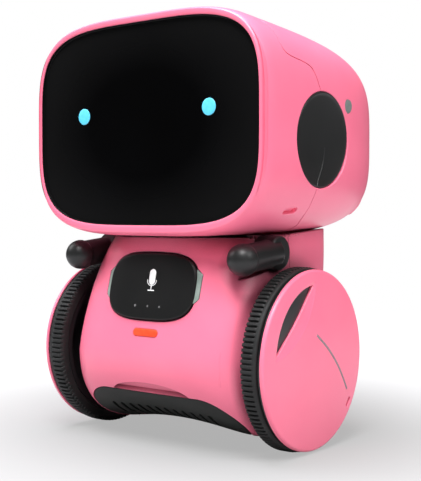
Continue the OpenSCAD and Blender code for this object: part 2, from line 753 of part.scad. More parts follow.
placed() shoulder_pin_left();
placed() shoulder_pin_right();
placed() shoulder_clip_left();
placed() shoulder_clip_right();
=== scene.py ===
"""Looks of the two-wheeled toy robot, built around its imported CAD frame.

Shapes are worked out in millimetres around the wheel axle: x across the robot, y back from the axle, z up from the
floor. Every piece is turned into metres in the frame's own place when it becomes an object.
"""
import json
import math
import bmesh
import bpy
import numpy as np
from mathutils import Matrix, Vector


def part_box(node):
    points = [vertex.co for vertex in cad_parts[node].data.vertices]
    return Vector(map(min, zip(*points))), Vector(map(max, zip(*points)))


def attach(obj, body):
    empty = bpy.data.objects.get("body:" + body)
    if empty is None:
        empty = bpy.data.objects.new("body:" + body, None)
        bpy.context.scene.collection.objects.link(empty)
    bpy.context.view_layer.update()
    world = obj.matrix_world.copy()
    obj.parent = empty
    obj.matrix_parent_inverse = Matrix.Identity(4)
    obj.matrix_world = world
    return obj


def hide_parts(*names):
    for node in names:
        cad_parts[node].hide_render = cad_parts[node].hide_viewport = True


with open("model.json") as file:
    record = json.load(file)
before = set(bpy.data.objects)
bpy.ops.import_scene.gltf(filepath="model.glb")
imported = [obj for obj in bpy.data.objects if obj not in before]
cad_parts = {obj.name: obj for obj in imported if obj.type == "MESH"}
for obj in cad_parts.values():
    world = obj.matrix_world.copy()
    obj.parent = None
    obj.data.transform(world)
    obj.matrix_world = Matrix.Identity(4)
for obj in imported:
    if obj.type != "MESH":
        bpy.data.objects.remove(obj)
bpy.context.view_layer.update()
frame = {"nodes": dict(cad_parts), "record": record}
SIDES = (("left", -1.0), ("right", 1.0))


def box_mm(node):
    """Lowest and highest corner of a CAD node at rest, in millimetres of the frame."""
    lo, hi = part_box(node)
    return np.array(lo) * 1000.0, np.array(hi) * 1000.0


TYRE_LO, TYRE_HI = box_mm("tyre_right")
AXLE_Y = (TYRE_LO[1] + TYRE_HI[1]) / 2
AXLE_Z = (TYRE_LO[2] + TYRE_HI[2]) / 2
TYRE_R = (TYRE_HI[2] - TYRE_LO[2]) / 2
TYRE_IN, TYRE_OUT = TYRE_LO[0], TYRE_HI[0]
COVER_OUT = box_mm("wheel_cover_right")[1][0]
HEAD_FRONT = box_mm("head_front_shell")[0][1] - AXLE_Y
HEAD_BACK = box_mm("head_rear_shell")[1][1] - AXLE_Y
HEAD_DEPTH = HEAD_BACK - HEAD_FRONT
NECK_TOP = box_mm("neck_washer")[0][2] - 0.05


# ---- Materials ----

def material(name, base, tint, rough, mottle=0.05, grain=1500.0, bump=0.05, spots=60.0, **shader):
    """A moulded surface: colour drifts softly between base and tint, gloss varies, and a fine grain bumps it."""
    m = bpy.data.materials.new(name)
    m.use_nodes = True
    nodes, links = m.node_tree.nodes, m.node_tree.links
    bsdf = nodes["Principled BSDF"]
    place = nodes.new("ShaderNodeTexCoord")
    drift = nodes.new("ShaderNodeTexNoise")
    drift.inputs["Scale"].default_value = spots
    drift.inputs["Detail"].default_value = 3.0
    links.new(place.outputs["Object"], drift.inputs["Vector"])
    colour = nodes.new("ShaderNodeValToRGB")
    colour.color_ramp.elements[0].position, colour.color_ramp.elements[1].position = 0.35, 0.65
    colour.color_ramp.elements[0].color = (*base, 1.0)
    colour.color_ramp.elements[1].color = (*tint, 1.0)
    links.new(drift.outputs["Fac"], colour.inputs["Fac"])
    links.new(colour.outputs["Color"], bsdf.inputs["Base Color"])
    fine = nodes.new("ShaderNodeTexNoise")
    fine.inputs["Scale"].default_value = grain
    fine.inputs["Detail"].default_value = 2.0
    links.new(place.outputs["Object"], fine.inputs["Vector"])
    gloss = nodes.new("ShaderNodeMapRange")
    gloss.inputs["To Min"].default_value = max(0.0, rough - mottle)
    gloss.inputs["To Max"].default_value = rough + mottle
    smudge = nodes.new("ShaderNodeTexNoise")
    smudge.inputs["Scale"].default_value = spots * 2.5
    smudge.inputs["Detail"].default_value = 6.0
    links.new(place.outputs["Object"], smudge.inputs["Vector"])
    links.new(smudge.outputs["Fac"], gloss.inputs["Value"])
    links.new(gloss.outputs["Result"], bsdf.inputs["Roughness"])
    if bump:
        relief = nodes.new("ShaderNodeBump")
        relief.inputs["Strength"].default_value = bump
        relief.inputs["Distance"].default_value = 0.0001
        links.new(fine.outputs["Fac"], relief.inputs["Height"])
        links.new(relief.outputs["Normal"], bsdf.inputs["Normal"])
    for key, value in shader.items():
        bsdf.inputs[key.replace("_", " ")].default_value = value
    return m


def shade_corners(m, reach, low):
    """Paints shade into a surface's colour where something stands close over it, as in the recesses and under the
    head.
    """
    nodes, links = m.node_tree.nodes, m.node_tree.links
    near, level, shade = nodes.new("ShaderNodeAmbientOcclusion"), nodes.new("ShaderNodeMapRange"), nodes.new("ShaderNodeMix")
    near.samples = 8
    near.inputs["Distance"].default_value = reach
    level.inputs["From Min"].default_value, level.inputs["From Max"].default_value = 0.4, 1.0
    level.inputs["To Min"].default_value = low
    shade.data_type, shade.blend_type = "RGBA", "MULTIPLY"
    shade.inputs["Factor"].default_value = 1.0
    links.new(near.outputs["AO"], level.inputs["Value"])
    links.new(nodes["Color Ramp"].outputs["Color"], shade.inputs["A"])
    links.new(level.outputs["Result"], shade.inputs["B"])
    links.new(shade.outputs["Result"], nodes["Principled BSDF"].inputs["Base Color"])


PINK = (0.93, 0.18, 0.295)
PINK_TINT = (0.95, 0.195, 0.31)
MAT = {
    "pink_shell": material("shell_pink", PINK, PINK_TINT, 0.36, bump=0.04, Specular_IOR_Level=0.45,
                           Coat_Weight=0.1, Coat_Roughness=0.4),
    "pink_cover": material("cover_pink", PINK, PINK_TINT, 0.34, bump=0.04, Specular_IOR_Level=0.45,
                           Coat_Weight=0.1, Coat_Roughness=0.4),
    "face_black": material("face_black", (0.0009, 0.0009, 0.001), (0.0014, 0.0014, 0.0016), 0.1, mottle=0.02,
                           bump=0.0, spots=25.0, Specular_IOR_Level=0.08),
    "eye_cyan": material("eye_cyan", (0.10, 0.62, 0.90), (0.13, 0.68, 0.95), 0.35, bump=0.02, spots=900.0),
    "inner_black": material("inner_black", (0.012, 0.012, 0.012), (0.02, 0.02, 0.02), 0.6, bump=0.2),
    "soft_black": material("soft_black", (0.009, 0.0095, 0.0095), (0.012, 0.0125, 0.0125), 0.42, bump=0.12,
                           grain=2600.0, Specular_IOR_Level=0.4),
    "dot_grey": material("dot_grey", (0.16, 0.19, 0.18), (0.20, 0.23, 0.22), 0.3, bump=0.03, spots=500.0),
    "grille_grey": material("grille_grey", (0.014, 0.0155, 0.014), (0.018, 0.0195, 0.018), 0.5, bump=0.15,
                            grain=2600.0, Specular_IOR_Level=0.25),
    "button_black": material("button_black", (0.007, 0.0073, 0.0073), (0.009, 0.0093, 0.0093), 0.4, bump=0.08,
                             grain=2600.0, Specular_IOR_Level=0.2),
    "lamp_orange": material("lamp_orange", (0.93, 0.065, 0.02), (0.96, 0.085, 0.028), 0.4, bump=0.03, spots=500.0,
                            Specular_IOR_Level=0.25),
    "guide_clear": material("guide_clear", (0.22, 0.28, 0.25), (0.28, 0.34, 0.31), 0.35, bump=0.05, spots=500.0),
    "board_green": material("board_green", (0.01, 0.13, 0.04), (0.02, 0.2, 0.07), 0.4, bump=0.2, spots=300.0),
    "steel": material("steel", (0.55, 0.55, 0.56), (0.62, 0.62, 0.63), 0.3, mottle=0.12, bump=0.1, spots=400.0,
                      Metallic=1.0),
    "nylon_white": material("nylon_white", (0.74, 0.74, 0.70), (0.8, 0.8, 0.77), 0.45, bump=0.1),
    "hub_black": material("hub_black", (0.008, 0.008, 0.009), (0.012, 0.012, 0.013), 0.35, bump=0.1),
    "tyre_rubber": material("tyre_rubber", (0.009, 0.0095, 0.0095), (0.014, 0.0148, 0.0148), 0.6, mottle=0.1,
                            bump=0.3, grain=1800.0, spots=220.0, Specular_IOR_Level=0.35),
    "cell_wrap": material("cell_wrap", (0.5, 0.36, 0.1), (0.6, 0.43, 0.13), 0.3, bump=0.05),
}
MARK_WHITE = material("mark_white", (0.82, 0.84, 0.84), (0.88, 0.89, 0.89), 0.45, bump=0.05, spots=900.0)
MARK_GREY = material("mark_grey", (0.24, 0.20, 0.21), (0.30, 0.25, 0.26), 0.5, bump=0.05, spots=900.0)
DOT_DIM = material("mark_dim", (0.10, 0.10, 0.10), (0.13, 0.13, 0.13), 0.5, bump=0.05, spots=900.0)


def eye_glow():
    """The lit eyes: they glow faintly in their own colour."""
    m = MAT["eye_cyan"]
    nodes, links = m.node_tree.nodes, m.node_tree.links
    bsdf = nodes["Principled BSDF"]
    ramp = nodes["Color Ramp"]
    links.new(ramp.outputs["Color"], bsdf.inputs["Emission Color"])
    bsdf.inputs["Emission Strength"].default_value = 0.04


def panel_edge_sheen():
    """The smoked panel is blackest in the middle, with a painted sheen that makes it a touch lighter towards its
    edges.
    """
    m = MAT["face_black"]
    nodes, links = m.node_tree.nodes, m.node_tree.links
    spread = nodes.new("ShaderNodeMapping")
    spread.vector_type = "POINT"
    spread.inputs["Scale"].default_value = (18.0, 0.0, 25.0)
    spread.inputs["Location"].default_value = (0.0, 0.0, -25.0 * 0.0971)
    fall = nodes.new("ShaderNodeTexGradient")
    fall.gradient_type = "SPHERICAL"
    links.new(nodes["Texture Coordinate"].outputs["Object"], spread.inputs["Vector"])
    links.new(spread.outputs["Vector"], fall.inputs["Vector"])
    # Painted sheen: a little grey is added to the colour towards the panel's edges.
    edge_sheen = nodes.new("ShaderNodeMapRange")
    edge_sheen.inputs["From Min"].default_value, edge_sheen.inputs["From Max"].default_value = 0.05, 0.6
    edge_sheen.inputs["To Min"].default_value, edge_sheen.inputs["To Max"].default_value = 0.006, 0.0
    links.new(fall.outputs["Fac"], edge_sheen.inputs["Value"])
    mix = nodes.new("ShaderNodeMix")
    mix.data_type, mix.blend_type = "RGBA", "ADD"
    mix.inputs["Factor"].default_value = 1.0
    links.new(nodes["Color Ramp"].outputs["Color"], mix.inputs["A"])
    links.new(edge_sheen.outputs["Result"], mix.inputs["B"])
    links.new(mix.outputs["Result"], nodes["Principled BSDF"].inputs["Base Color"])


eye_glow()
panel_edge_sheen()
# The body's pink carries painted shade: its colour darkens in the recesses and under the head.
BODY_PINK = material("body_pink", PINK, PINK_TINT, 0.36, bump=0.04, Specular_IOR_Level=0.45, Coat_Weight=0.1,
                     Coat_Roughness=0.4)
shade_corners(BODY_PINK, 0.006, 0.3)

# Every CAD node first gets its slot's material. Most visible ones are then replaced by finer pieces.
NODE_SLOT = {part["node"]: part["material_slot"] for part in frame["record"]["subparts"]}
for node_name, node_object in frame["nodes"].items():
    node_object.data.materials.clear()
    node_object.data.materials.append(MAT[NODE_SLOT[node_name]])


# ---- Mesh tools ----

def squircle(angle, w, h, n):
    """Points of the closed curve |x/w|^n + |y/h|^n = 1 at polar angles."""
    r = (np.abs(np.cos(angle) / w) ** n + np.abs(np.sin(angle) / h) ** n) ** (-1.0 / n)
    return r * np.cos(angle), r * np.sin(angle)


def even_angles(w, h, n, count):
    """Polar angles at which points of a squircle are evenly spaced along it."""
    angle = np.linspace(0.0, 2 * np.pi, 4001)
    x, y = squircle(angle, w, h, n)
    length = np.concatenate([[0.0], np.cumsum(np.hypot(np.diff(x), np.diff(y)))])
    return np.interp((np.arange(count) + 0.5) / count * length[-1], length, angle)


def smooth_path(points, count):
    """Evenly spaced points on a Catmull-Rom curve through given ones."""
    p = np.array(points, float)
    p = np.vstack([2 * p[0] - p[1], p, 2 * p[-1] - p[-2]])
    out = []
    for a, b, c, d in zip(p[:-3], p[1:-2], p[2:-1], p[3:]):
        for t in np.linspace(0, 1, 24, endpoint=False):
            out.append(0.5 * (2 * b + (c - a) * t + (2 * a - 5 * b + 4 * c - d) * t**2
                              + (3 * b - a - 3 * c + d) * t**3))
    out = np.array(out + [p[-2]])
    length = np.concatenate([[0.0], np.cumsum(np.linalg.norm(np.diff(out, axis=0), axis=1))])
    s = np.linspace(0, length[-1], count)
    return np.stack([np.interp(s, length, out[:, k]) for k in range(out.shape[1])], 1)


def path_distance(points, path):
    """Signed distance of 2-D points to an open path, positive on its left."""
    best = np.full(len(points), 1e9)
    side = np.ones(len(points))
    for a, b in zip(path[:-1], path[1:]):
        ab = b - a
        t = np.clip(((points - a) @ ab) / (ab @ ab), 0, 1)
        off = points - (a + t[:, None] * ab)
        d = np.linalg.norm(off, axis=1)
        near = d < best - 1e-9
        best = np.where(near, d, best)
        side = np.where(near, np.sign(ab[0] * off[:, 1] - ab[1] * off[:, 0]), side)
    return best * np.where(side == 0, 1, side)


def ring(x, y, half_w, half_h, n):
    """Rough signed distance to a squircle outline in a plane, negative inside."""
    r = np.hypot(x, y) + 1e-9
    rim = (np.abs(x / r / half_w) ** n + np.abs(y / r / half_h) ** n) ** (-1.0 / n)
    reach = ((np.abs(x / half_w) ** n + np.abs(y / half_h) ** n) + 1e-12) ** (1.0 / n)
    steep = reach ** (1 - n) * np.hypot(np.abs(x) ** (n - 1) / half_w**n, np.abs(y) ** (n - 1) / half_h**n)
    return np.where(reach > 0.35, (reach - 1) / np.maximum(steep, 1e-6), r - rim)


def bar(x, y, half_l, r):
    """Signed distance to a bar with round ends, lying along x."""
    return np.hypot(np.maximum(np.abs(x) - (half_l - r), 0), y) - r


def panel(x, y, half_w, half_h, r):
    """Signed distance to a rectangle with rounded corners."""
    qx, qy = np.abs(x) - (half_w - r), np.abs(y) - (half_h - r)
    return np.hypot(np.maximum(qx, 0), np.maximum(qy, 0)) + np.minimum(np.maximum(qx, qy), 0) - r


WALL = 0.03        # thickness of the band of faces that makes a recess's wall


class Edge:
    """A recess inside an outline on a surface, with a rounded edge around it.

    field gives the signed distance of points to the outline, negative inside. Inside, the surface sinks by depth,
    or, where plane is given as (axis, value function), its points move along that axis to the plane.
    """

    def __init__(self, field, depth=0.0, rounding=0.25, plane=None, where=None, slope=None, through=False):
        self.field, self.depth, self.rounding, self.plane = field, depth, rounding, plane
        self.where, self.slope, self.through = where, slope, through

    def masked(self, p):
        d = self.field(p)
        return d if self.where is None else np.where(self.where(p), d, 99.0)

    def levels(self):
        r = self.rounding
        steps = [r * 1.9, r, r * 0.5, r * 0.134] if r else []
        return steps + [0.0, -WALL] if not self.slope else [0.0]

    def sink(self, p):
        d, r = self.masked(p), self.rounding
        if self.slope:
            return self.slope(p, d)
        edge = r - np.sqrt(np.maximum(r * r - np.clip(r - d, 0, r) ** 2, 0)) if r else np.zeros(len(d))
        deep = self.depth if self.plane is None else 0.0
        if self.plane:
            axis, value = self.plane
            edge = edge * np.clip(np.abs(p[:, axis] - value(p)) / 0.8, 0, 1)
        return np.where(d > -WALL * 0.6, edge, np.maximum(edge * 0, deep))


class Skin:
    """A surface that is cut along outlines, sunk inside them, split and turned into an object."""

    def __init__(self, rings, start="open", end="open", ring_closed=True):
        rings = np.asarray(rings, float)
        count, n = rings.shape[:2]
        faces = []
        for j in range(count - 1):
            for i in range(n if ring_closed else n - 1):
                k = (i + 1) % n
                faces.append((j * n + i, j * n + k, (j + 1) * n + k, (j + 1) * n + i))
        if start == "cap":
            faces.append(tuple(range(n)))
        if end == "cap":
            faces.append(tuple((count - 1) * n + i for i in range(n)))
        mesh = bpy.data.meshes.new("skin")
        mesh.from_pydata(rings.reshape(-1, 3).tolist(), [], faces)
        self.bm = bmesh.new()
        self.bm.from_mesh(mesh)
        bpy.data.meshes.remove(mesh)
        self.tidy()
        bmesh.ops.recalc_face_normals(self.bm, faces=self.bm.faces)
        self.turn_out()

    def tidy(self, dist=0.002):
        bmesh.ops.remove_doubles(self.bm, verts=self.bm.verts, dist=dist)
        bmesh.ops.dissolve_degenerate(self.bm, edges=self.bm.edges, dist=dist)

    def turn_out(self):
        """Face normals point away from the middle."""
        middle = self.points().mean(0)
        total = 0.0
        for f in self.bm.faces:
            total += f.calc_area() * (np.array(f.calc_center_median()) - middle) @ np.array(f.normal)
        if total < 0:
            bmesh.ops.reverse_faces(self.bm, faces=self.bm.faces)

    def points(self):
        return np.array([v.co for v in self.bm.verts])

    def normals(self):
        self.bm.normal_update()
        return np.array([v.normal for v in self.bm.verts])

    def place(self, points):
        for v, p in zip(self.bm.verts, points.tolist()):
            v.co = p

    def copy(self):
        twin = Skin.__new__(Skin)
        twin.bm = self.bm.copy()
        return twin

    def cut(self, field, levels):
        """Adds edges exactly along the field's level lines."""
        bm = self.bm
        for level in levels:
            bm.verts.index_update()
            value = field(self.points()) - level
            value[np.abs(value) < 0.003] = 0.0
            edges = [e for e in bm.edges if value[e.verts[0].index] * value[e.verts[1].index] < 0]
            line = [v for v in bm.verts if value[v.index] == 0.0]
            todo = [(e, e.verts[0], value[e.verts[0].index], value[e.verts[1].index]) for e in edges]
            for e, v, a, b in todo:
                line.append(bmesh.utils.edge_split(e, v, a / (a - b))[1])
            if line:
                bmesh.ops.connect_verts(bm, verts=line, check_degenerate=False)

    def shape(self, features):
        """Cuts every feature's lines first, then sinks the surface by all of them at once."""
        for f in features:
            self.cut(f.masked, f.levels())
        p, n = self.points(), self.normals()
        self.bm.verts.index_update()
        holes = []
        for f in features:
            if f.through:
                inside = f.masked(p) < -WALL * 0.9
                holes += [g for g in self.bm.faces if all(inside[v.index] for v in g.verts)]
        depth = np.zeros(len(p))
        for f in features:
            depth = np.maximum(depth, f.sink(p))
        out = p - n * depth[:, None]
        for f in features:
            if f.plane:
                inside = f.masked(p) < -WALL * 0.6
                axis, value = f.plane
                out[inside, axis] = value(p)[inside]
        self.place(out)
        if holes:
            bmesh.ops.delete(self.bm, geom=list(set(holes)), context="FACES")
        return self

    def keep(self, field, grow=0.0):
        """Keeps the side of a cut line where the field is negative."""
        self.cut(field, [grow])
        centres = np.array([f.calc_center_median() for f in self.bm.faces])
        gone = field(centres) > grow
        bmesh.ops.delete(self.bm, geom=[f for f, g in zip(self.bm.faces, gone) if g], context="FACES")
        return self


def to_object(name, bm, body, slot, replaces=(), thick=0.0, mat=None, sharp=0.62, weighted=True, mirror=False):
    """Turns a bmesh in millimetres into a piece that rides on a body."""
    if mirror:
        for v in bm.verts:
            v.co.x = -v.co.x
        bmesh.ops.reverse_faces(bm, faces=bm.faces)
    for v in bm.verts:
        v.co = Vector((v.co.x, v.co.y + AXLE_Y, v.co.z)) * 0.001
    mesh = bpy.data.meshes.new(name)
    bm.to_mesh(mesh)
    bm.free()
    obj = bpy.data.objects.new(name, mesh)
    bpy.context.scene.collection.objects.link(obj)
    if thick:
        solid = obj.modifiers.new("thickness", "SOLIDIFY")
        solid.thickness = thick * 0.001
        solid.offset = -1.0
    for p in mesh.polygons:
        p.use_smooth = True
    mesh.set_sharp_from_angle(angle=sharp)
    if weighted:
        even = obj.modifiers.new("even normals", "WEIGHTED_NORMAL")
        even.keep_sharp = True
    mesh.materials.append(mat or MAT[slot])
    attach(obj, body)
    if replaces:
        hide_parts(*([replaces] if isinstance(replaces, str) else replaces))
    return obj


def lathe(profile, count=128, axis="x", centre=(0.0, 0.0, 0.0), tilt=0.0):
    """A turned shape: profile is [distance along the axis, radius]; radius 0 closes an end."""
    turn = np.linspace(0, 2 * np.pi, count, endpoint=False)
    rings = []
    for along, r in profile:
        c, s = r * np.cos(turn), r * np.sin(turn)
        a = np.full(count, along)
        rings.append({"x": np.stack([a, c, s], 1), "y": np.stack([c, a, -s], 1), "z": np.stack([c, s, a], 1)}[axis])
    rings = np.array(rings)
    if tilt:
        co, si = math.cos(tilt), math.sin(tilt)
        x, z = rings[..., 0].copy(), rings[..., 2].copy()
        rings[..., 0], rings[..., 2] = x * co + z * si, -x * si + z * co
    return Skin(rings + np.array(centre))


def arc(cx, cy, r, a0, a1, count=6):
    """Points of an arc, angles in degrees, for a lathe profile."""
    return [(cx + r * math.cos(math.radians(a)), cy + r * math.sin(math.radians(a))) for a in np.linspace(a0, a1, count)]


# ---- Head ----

LIP, LIP_PART, HEAD_DROP, HEAD_MID = 1.3, 0.07, 3.7, 96.9
HEAD_HALF_W, HEAD_HALF_H = 44.6, 33.2
FACE_W, FACE_H, FACE_Z = 42.9, 30.2, 97.1
LENS_Y = HEAD_FRONT + 1.2
EYE_X, EYE_Z, EYE_R = 24.7, 100.6, 2.5
EAR = np.array([45.1, 0.8, 91.8])
EAR_R, EAR_TILT = 14.0, math.radians(3.6)
DOT_Y, DOT_Z, DOT_R = 15.5, 102.8, 2.1
SEAM_GAP = 0.14


def head_w(u, inset=0.0):
    return (HEAD_HALF_W - inset) * (1 + 0.15 * u - 0.2 * u * u) * (1 - u**4.86) ** (1 / 4.86)


def head_h(u, inset=0.0):
    return (HEAD_HALF_H - inset) * (1 - 0.11 * u + 0.09 * u * u) * (1 - u**3.9) ** (1 / 3.9)


def head_ring(u, angle, inset=0.0):
    x, z = squircle(angle, head_w(u, inset), head_h(u, inset), 3.95 - 0.18 * u)
    return np.stack([x, np.full(len(x), HEAD_FRONT + u * HEAD_DEPTH), z + HEAD_MID - HEAD_DROP * u], 1)


def head_skin():
    angle = even_angles(HEAD_HALF_W, HEAD_HALF_H, 3.9, 360)
    ox, oz = squircle(angle, FACE_W, FACE_H, 4.0)
    opening = np.stack([ox, np.full(len(ox), HEAD_FRONT), oz + FACE_Z], 1)
    rim = head_ring(0.0, angle, LIP)
    rings = [opening + [0, 3.4, 0], opening + [0, 1.6, 0], opening + [0, 0.3, 0]]
    for t in np.radians([22.5, 45, 67.5, 90]):
        part = 0.5 * (1 - math.cos(t))
        rings.append(opening + (rim - opening) * part + [0, 0.22 * (1 - math.sin(t)), 0])
    for t in np.linspace(0, np.pi / 2, 9):
        rings.append(head_ring(LIP_PART * (1 - math.cos(t)), angle, LIP * (1 - math.sin(t))))
    u = 1 - (1 - np.linspace(0, 1, 6000)) ** 3
    u = LIP_PART + u * (1 - LIP_PART)
    width = head_w(u)
    length = np.concatenate([[0.0], np.cumsum(np.hypot(np.diff(u) * HEAD_DEPTH, np.diff(width)))])
    steps = np.interp(np.linspace(0, length[-1] - 1.0, 140)[1:], length, u)
    rings += [head_ring(s, angle) for s in steps]
    return Skin(rings, end="cap")


SEAM = smooth_path([(-18.2, 150.0), (-18.2, 135.0), (-18.2, 120.0), (-17.6, 116.2), (-15.0, 114.6), (-7.8, 113.3),
                    (-4.3, 111.7), (-1.6, 107.0), (0.8, 101.5), (3.2, 96.0), (4.6, 90.5), (3.2, 84.5), (0.2, 80.0),
                    (-1.3, 77.0), (-1.7, 74.4), (-1.4, 72.0), (-1.0, 70.0), (0.3, 68.2), (2.2, 66.9), (3.5, 64.5),
                    (3.5, 57.0), (3.5, 50.0)], 180)


def head_seam(p):
    """Distance behind the seam between the head's two shells."""
    return path_distance(p[:, 1:3], SEAM)


def ear_frame(p):
    """Offsets from the ear's axis, in the ear's own tilted plane, on either side."""
    x = np.abs(p[:, 0]) - EAR[0]
    z = p[:, 2] - EAR[2]
    co, si = math.cos(EAR_TILT), math.sin(EAR_TILT)
    return p[:, 1] - EAR[1], z * co + x * si


def on_side(p):
    return np.abs(p[:, 0]) > 35


def ear_field(p):
    y, z = ear_frame(p)
    return np.hypot(y, z) - (EAR_R + 0.15)


PORT_COS, PORT_SIN = math.cos(math.radians(4)), math.sin(math.radians(4))


def port_field(p):
    y, z = p[:, 1] + 9.7, p[:, 2] - 71.1
    return bar(y * PORT_COS + z * PORT_SIN, -y * PORT_SIN + z * PORT_COS, 3.0, 0.85)


def head_screw_field(p):
    return np.hypot(np.abs(p[:, 0]) - 33, np.abs(p[:, 2] - 93.5) - 20) - 2.3


def groove(field, width, depth, where=None):
    """A fine line pressed into a surface, following a field's zero line."""
    def sink(p, d):
        return depth * np.clip(1 - (np.abs(d) / (width / 2)) ** 2, 0, 1)
    line = Edge(field, where=where, slope=sink)
    line.levels = lambda: [-width / 2, -width / 4, 0.0, width / 4, width / 2]
    return line


head_features = [
    Edge(ear_field, rounding=0.22, where=on_side, plane=(0, lambda p: np.sign(p[:, 0]) * (EAR[0] - 4.0))),
    Edge(lambda p: np.hypot(p[:, 1] - DOT_Y, p[:, 2] - DOT_Z) - (DOT_R + 0.08), depth=1.2, rounding=0.12,
         where=on_side),
    Edge(port_field, depth=1.1, rounding=0.12, where=on_side),
    Edge(head_screw_field, rounding=0.25, where=lambda p: p[:, 1] > 28, plane=(1, lambda p: np.full(len(p), 35.6))),
]
head = head_skin()
head.shape(head_features)


def seam_edge(field, gap, rounding=0.12):
    """The softened edge of a shell along a parting line, on its negative side."""
    def sink(p, d):
        off = np.abs(d) - gap / 2
        return rounding * np.clip(1 - off / rounding, 0, 1) ** 1.6
    line = Edge(field, slope=sink)
    line.levels = lambda: [s * (gap / 2 + k * rounding) for s in (-1, 1) for k in (0.0, 0.5, 1.0, 1.8)]
    return line


head.shape([seam_edge(head_seam, SEAM_GAP)])
front = head.copy().keep(head_seam, -SEAM_GAP / 2)
rear = head.keep(lambda p: -head_seam(p), -SEAM_GAP / 2)
to_object("head_front", front.bm, "head", "pink_shell", "head_front_shell", thick=1.6)
to_object("head_rear", rear.bm, "head", "pink_shell", "head_rear_shell", thick=1.6)


def lens():
    """The smoked face panel: a flat plate whose thin upturned lip lines the opening's wall."""
    w, h = FACE_W - 0.06, FACE_H - 0.06
    angle = even_angles(w, h, 4.0, 240)
    lip = 0.2
    rings = []

    def at(scale_in, y):
        x, z = squircle(angle, w - scale_in, h - scale_in, 4.0)
        rings.append(np.stack([x, np.full(len(x), y), z + FACE_Z], 1))
    at(0.0, LENS_Y + 2.2)
    for scale_in, y in ((0.0, HEAD_FRONT + 0.34), (0.04, HEAD_FRONT + 0.28), (lip - 0.04, HEAD_FRONT + 0.28),
                        (lip, HEAD_FRONT + 0.34), (lip, LENS_Y - 0.1), (lip + 0.1, LENS_Y)):
        at(scale_in, y)
    for part in np.linspace(0.03, 0.97, 26):
        x, z = squircle(angle, (w - lip) * (1 - part), (h - lip) * (1 - part), 4.0 - 1.6 * part)
        rings.append(np.stack([x, np.full(len(x), LENS_Y), z + FACE_Z], 1))
    skin = Skin(rings, start="cap", end="cap")
    skin.shape([Edge(lambda p: np.hypot(np.abs(p[:, 0]) - EYE_X, p[:, 2] - EYE_Z) - EYE_R - 0.05, depth=0.8,
                     rounding=0.1, where=lambda p: p[:, 1] < LENS_Y + 0.1)])
    return skin.bm


to_object("face_panel", lens(), "head", "face_black", "face_lens")


def eyes():
    """Two lit lens caps standing just proud of the panel."""
    both = bmesh.new()
    for s in (-1, 1):
        cap = lathe([(LENS_Y + 0.7, EYE_R - 0.02), (LENS_Y + 0.06, EYE_R - 0.02), (LENS_Y - 0.02, EYE_R - 0.1),
                     (LENS_Y - 0.07, EYE_R - 0.3), (LENS_Y - 0.12, EYE_R * 0.66), (LENS_Y - 0.15, EYE_R * 0.33),
                     (LENS_Y - 0.16, 0.0)], count=64, axis="y", centre=(s * EYE_X, 0, EYE_Z))
        add(both, cap.bm)
    return both


def add(target, source):
    """Puts one bmesh's faces into another and frees it."""
    mesh = bpy.data.meshes.new("part")
    source.to_mesh(mesh)
    source.free()
    target.from_mesh(mesh)
    bpy.data.meshes.remove(mesh)
    return target


to_object("eye_caps", eyes(), "head", "eye_cyan", "eye_lights")


def ear(side):
    """A dished black disc with a rounded rim, its halves parted by the seam's fine line low down."""
    dish, rim = 1.6, 0.45
    ball = (EAR_R**2 + dish**2) / (2 * dish)
    inner = EAR_R - rim * 1.6
    profile = [(-2.9, EAR_R - 0.6), (-2.9, EAR_R), (-rim, EAR_R)]
    profile += [(-rim + rim * math.sin(t), EAR_R - rim + rim * math.cos(t)) for t in np.radians([30, 60, 90])]
    floor = [inner * (1 - k) for k in np.linspace(0, 1, 22)]
    profile += [(-dish + ball - math.sqrt(ball**2 - r * r), r) for r in floor]
    disc = lathe(profile, count=160, centre=EAR, tilt=EAR_TILT)
    disc.shape([groove(head_seam, 0.3, 0.14, where=lambda p: (p[:, 2] < 90) & (p[:, 0] > 43))])
    return to_object(f"ear_disc_{side[0]}", disc.bm, "head", "soft_black", f"ear_dish_{side[0]}", mirror=side[1] < 0)


for side in SIDES:
    ear(side)


def dots():
    both = bmesh.new()
    for s in (-1, 1):
        x = head_w((DOT_Y - HEAD_FRONT) / HEAD_DEPTH) - 0.05
        cap = lathe([(-1.2, DOT_R), (-0.12, DOT_R), (-0.03, DOT_R - 0.06), (0.0, DOT_R - 0.2), (0.03, DOT_R * 0.5),
                     (0.04, 0.0)], count=48)
        for v in cap.bm.verts:
            lean = 0.06 * v.co.z + 0.035 * v.co.y
            v.co = Vector((s * (x + v.co.x + lean), v.co.y + DOT_Y, v.co.z + DOT_Z))
        if s < 0:
            bmesh.ops.reverse_faces(cap.bm, faces=cap.bm.faces)
        add(both, cap.bm)
    return both


to_object("sensor_windows", dots(), "head", "dot_grey", "sensor_dots")


def screw(x, y, z, r):
    """A pan-head screw facing back, with a cross recess."""
    head = lathe([(y - 1.2, r), (y - 0.35, r), (y - 0.12, r - 0.12), (y, r - 0.45), (y + 0.06, r * 0.5),
                  (y + 0.08, 0.0)], count=64, axis="y", centre=(x, 0, z))
    arm, half = r * 0.62, r * 0.13
    def cross(p):
        dx, dz = np.abs(p[:, 0] - x), np.abs(p[:, 2] - z)
        a = np.maximum(dx - arm, dz - half)
        b = np.maximum(dz - arm, dx - half)
        return np.minimum(a, b)
    head.shape([Edge(cross, depth=0.45, rounding=0.05, where=lambda p: p[:, 1] > y - 0.2)])
    return head.bm


def screws(name, spots, r, body, node):
    all_heads = bmesh.new()
    for x, y, z in spots:
        add(all_heads, screw(x, y, z, r))
    return to_object(name, all_heads, body, "steel", node)


screws("head_screw_heads", [(sx * 33, 36.0, 93.5 + sz * 20) for sx in (-1, 1) for sz in (-1, 1)], 2.1, "head",
       "head_screws")


# ---- Body ----

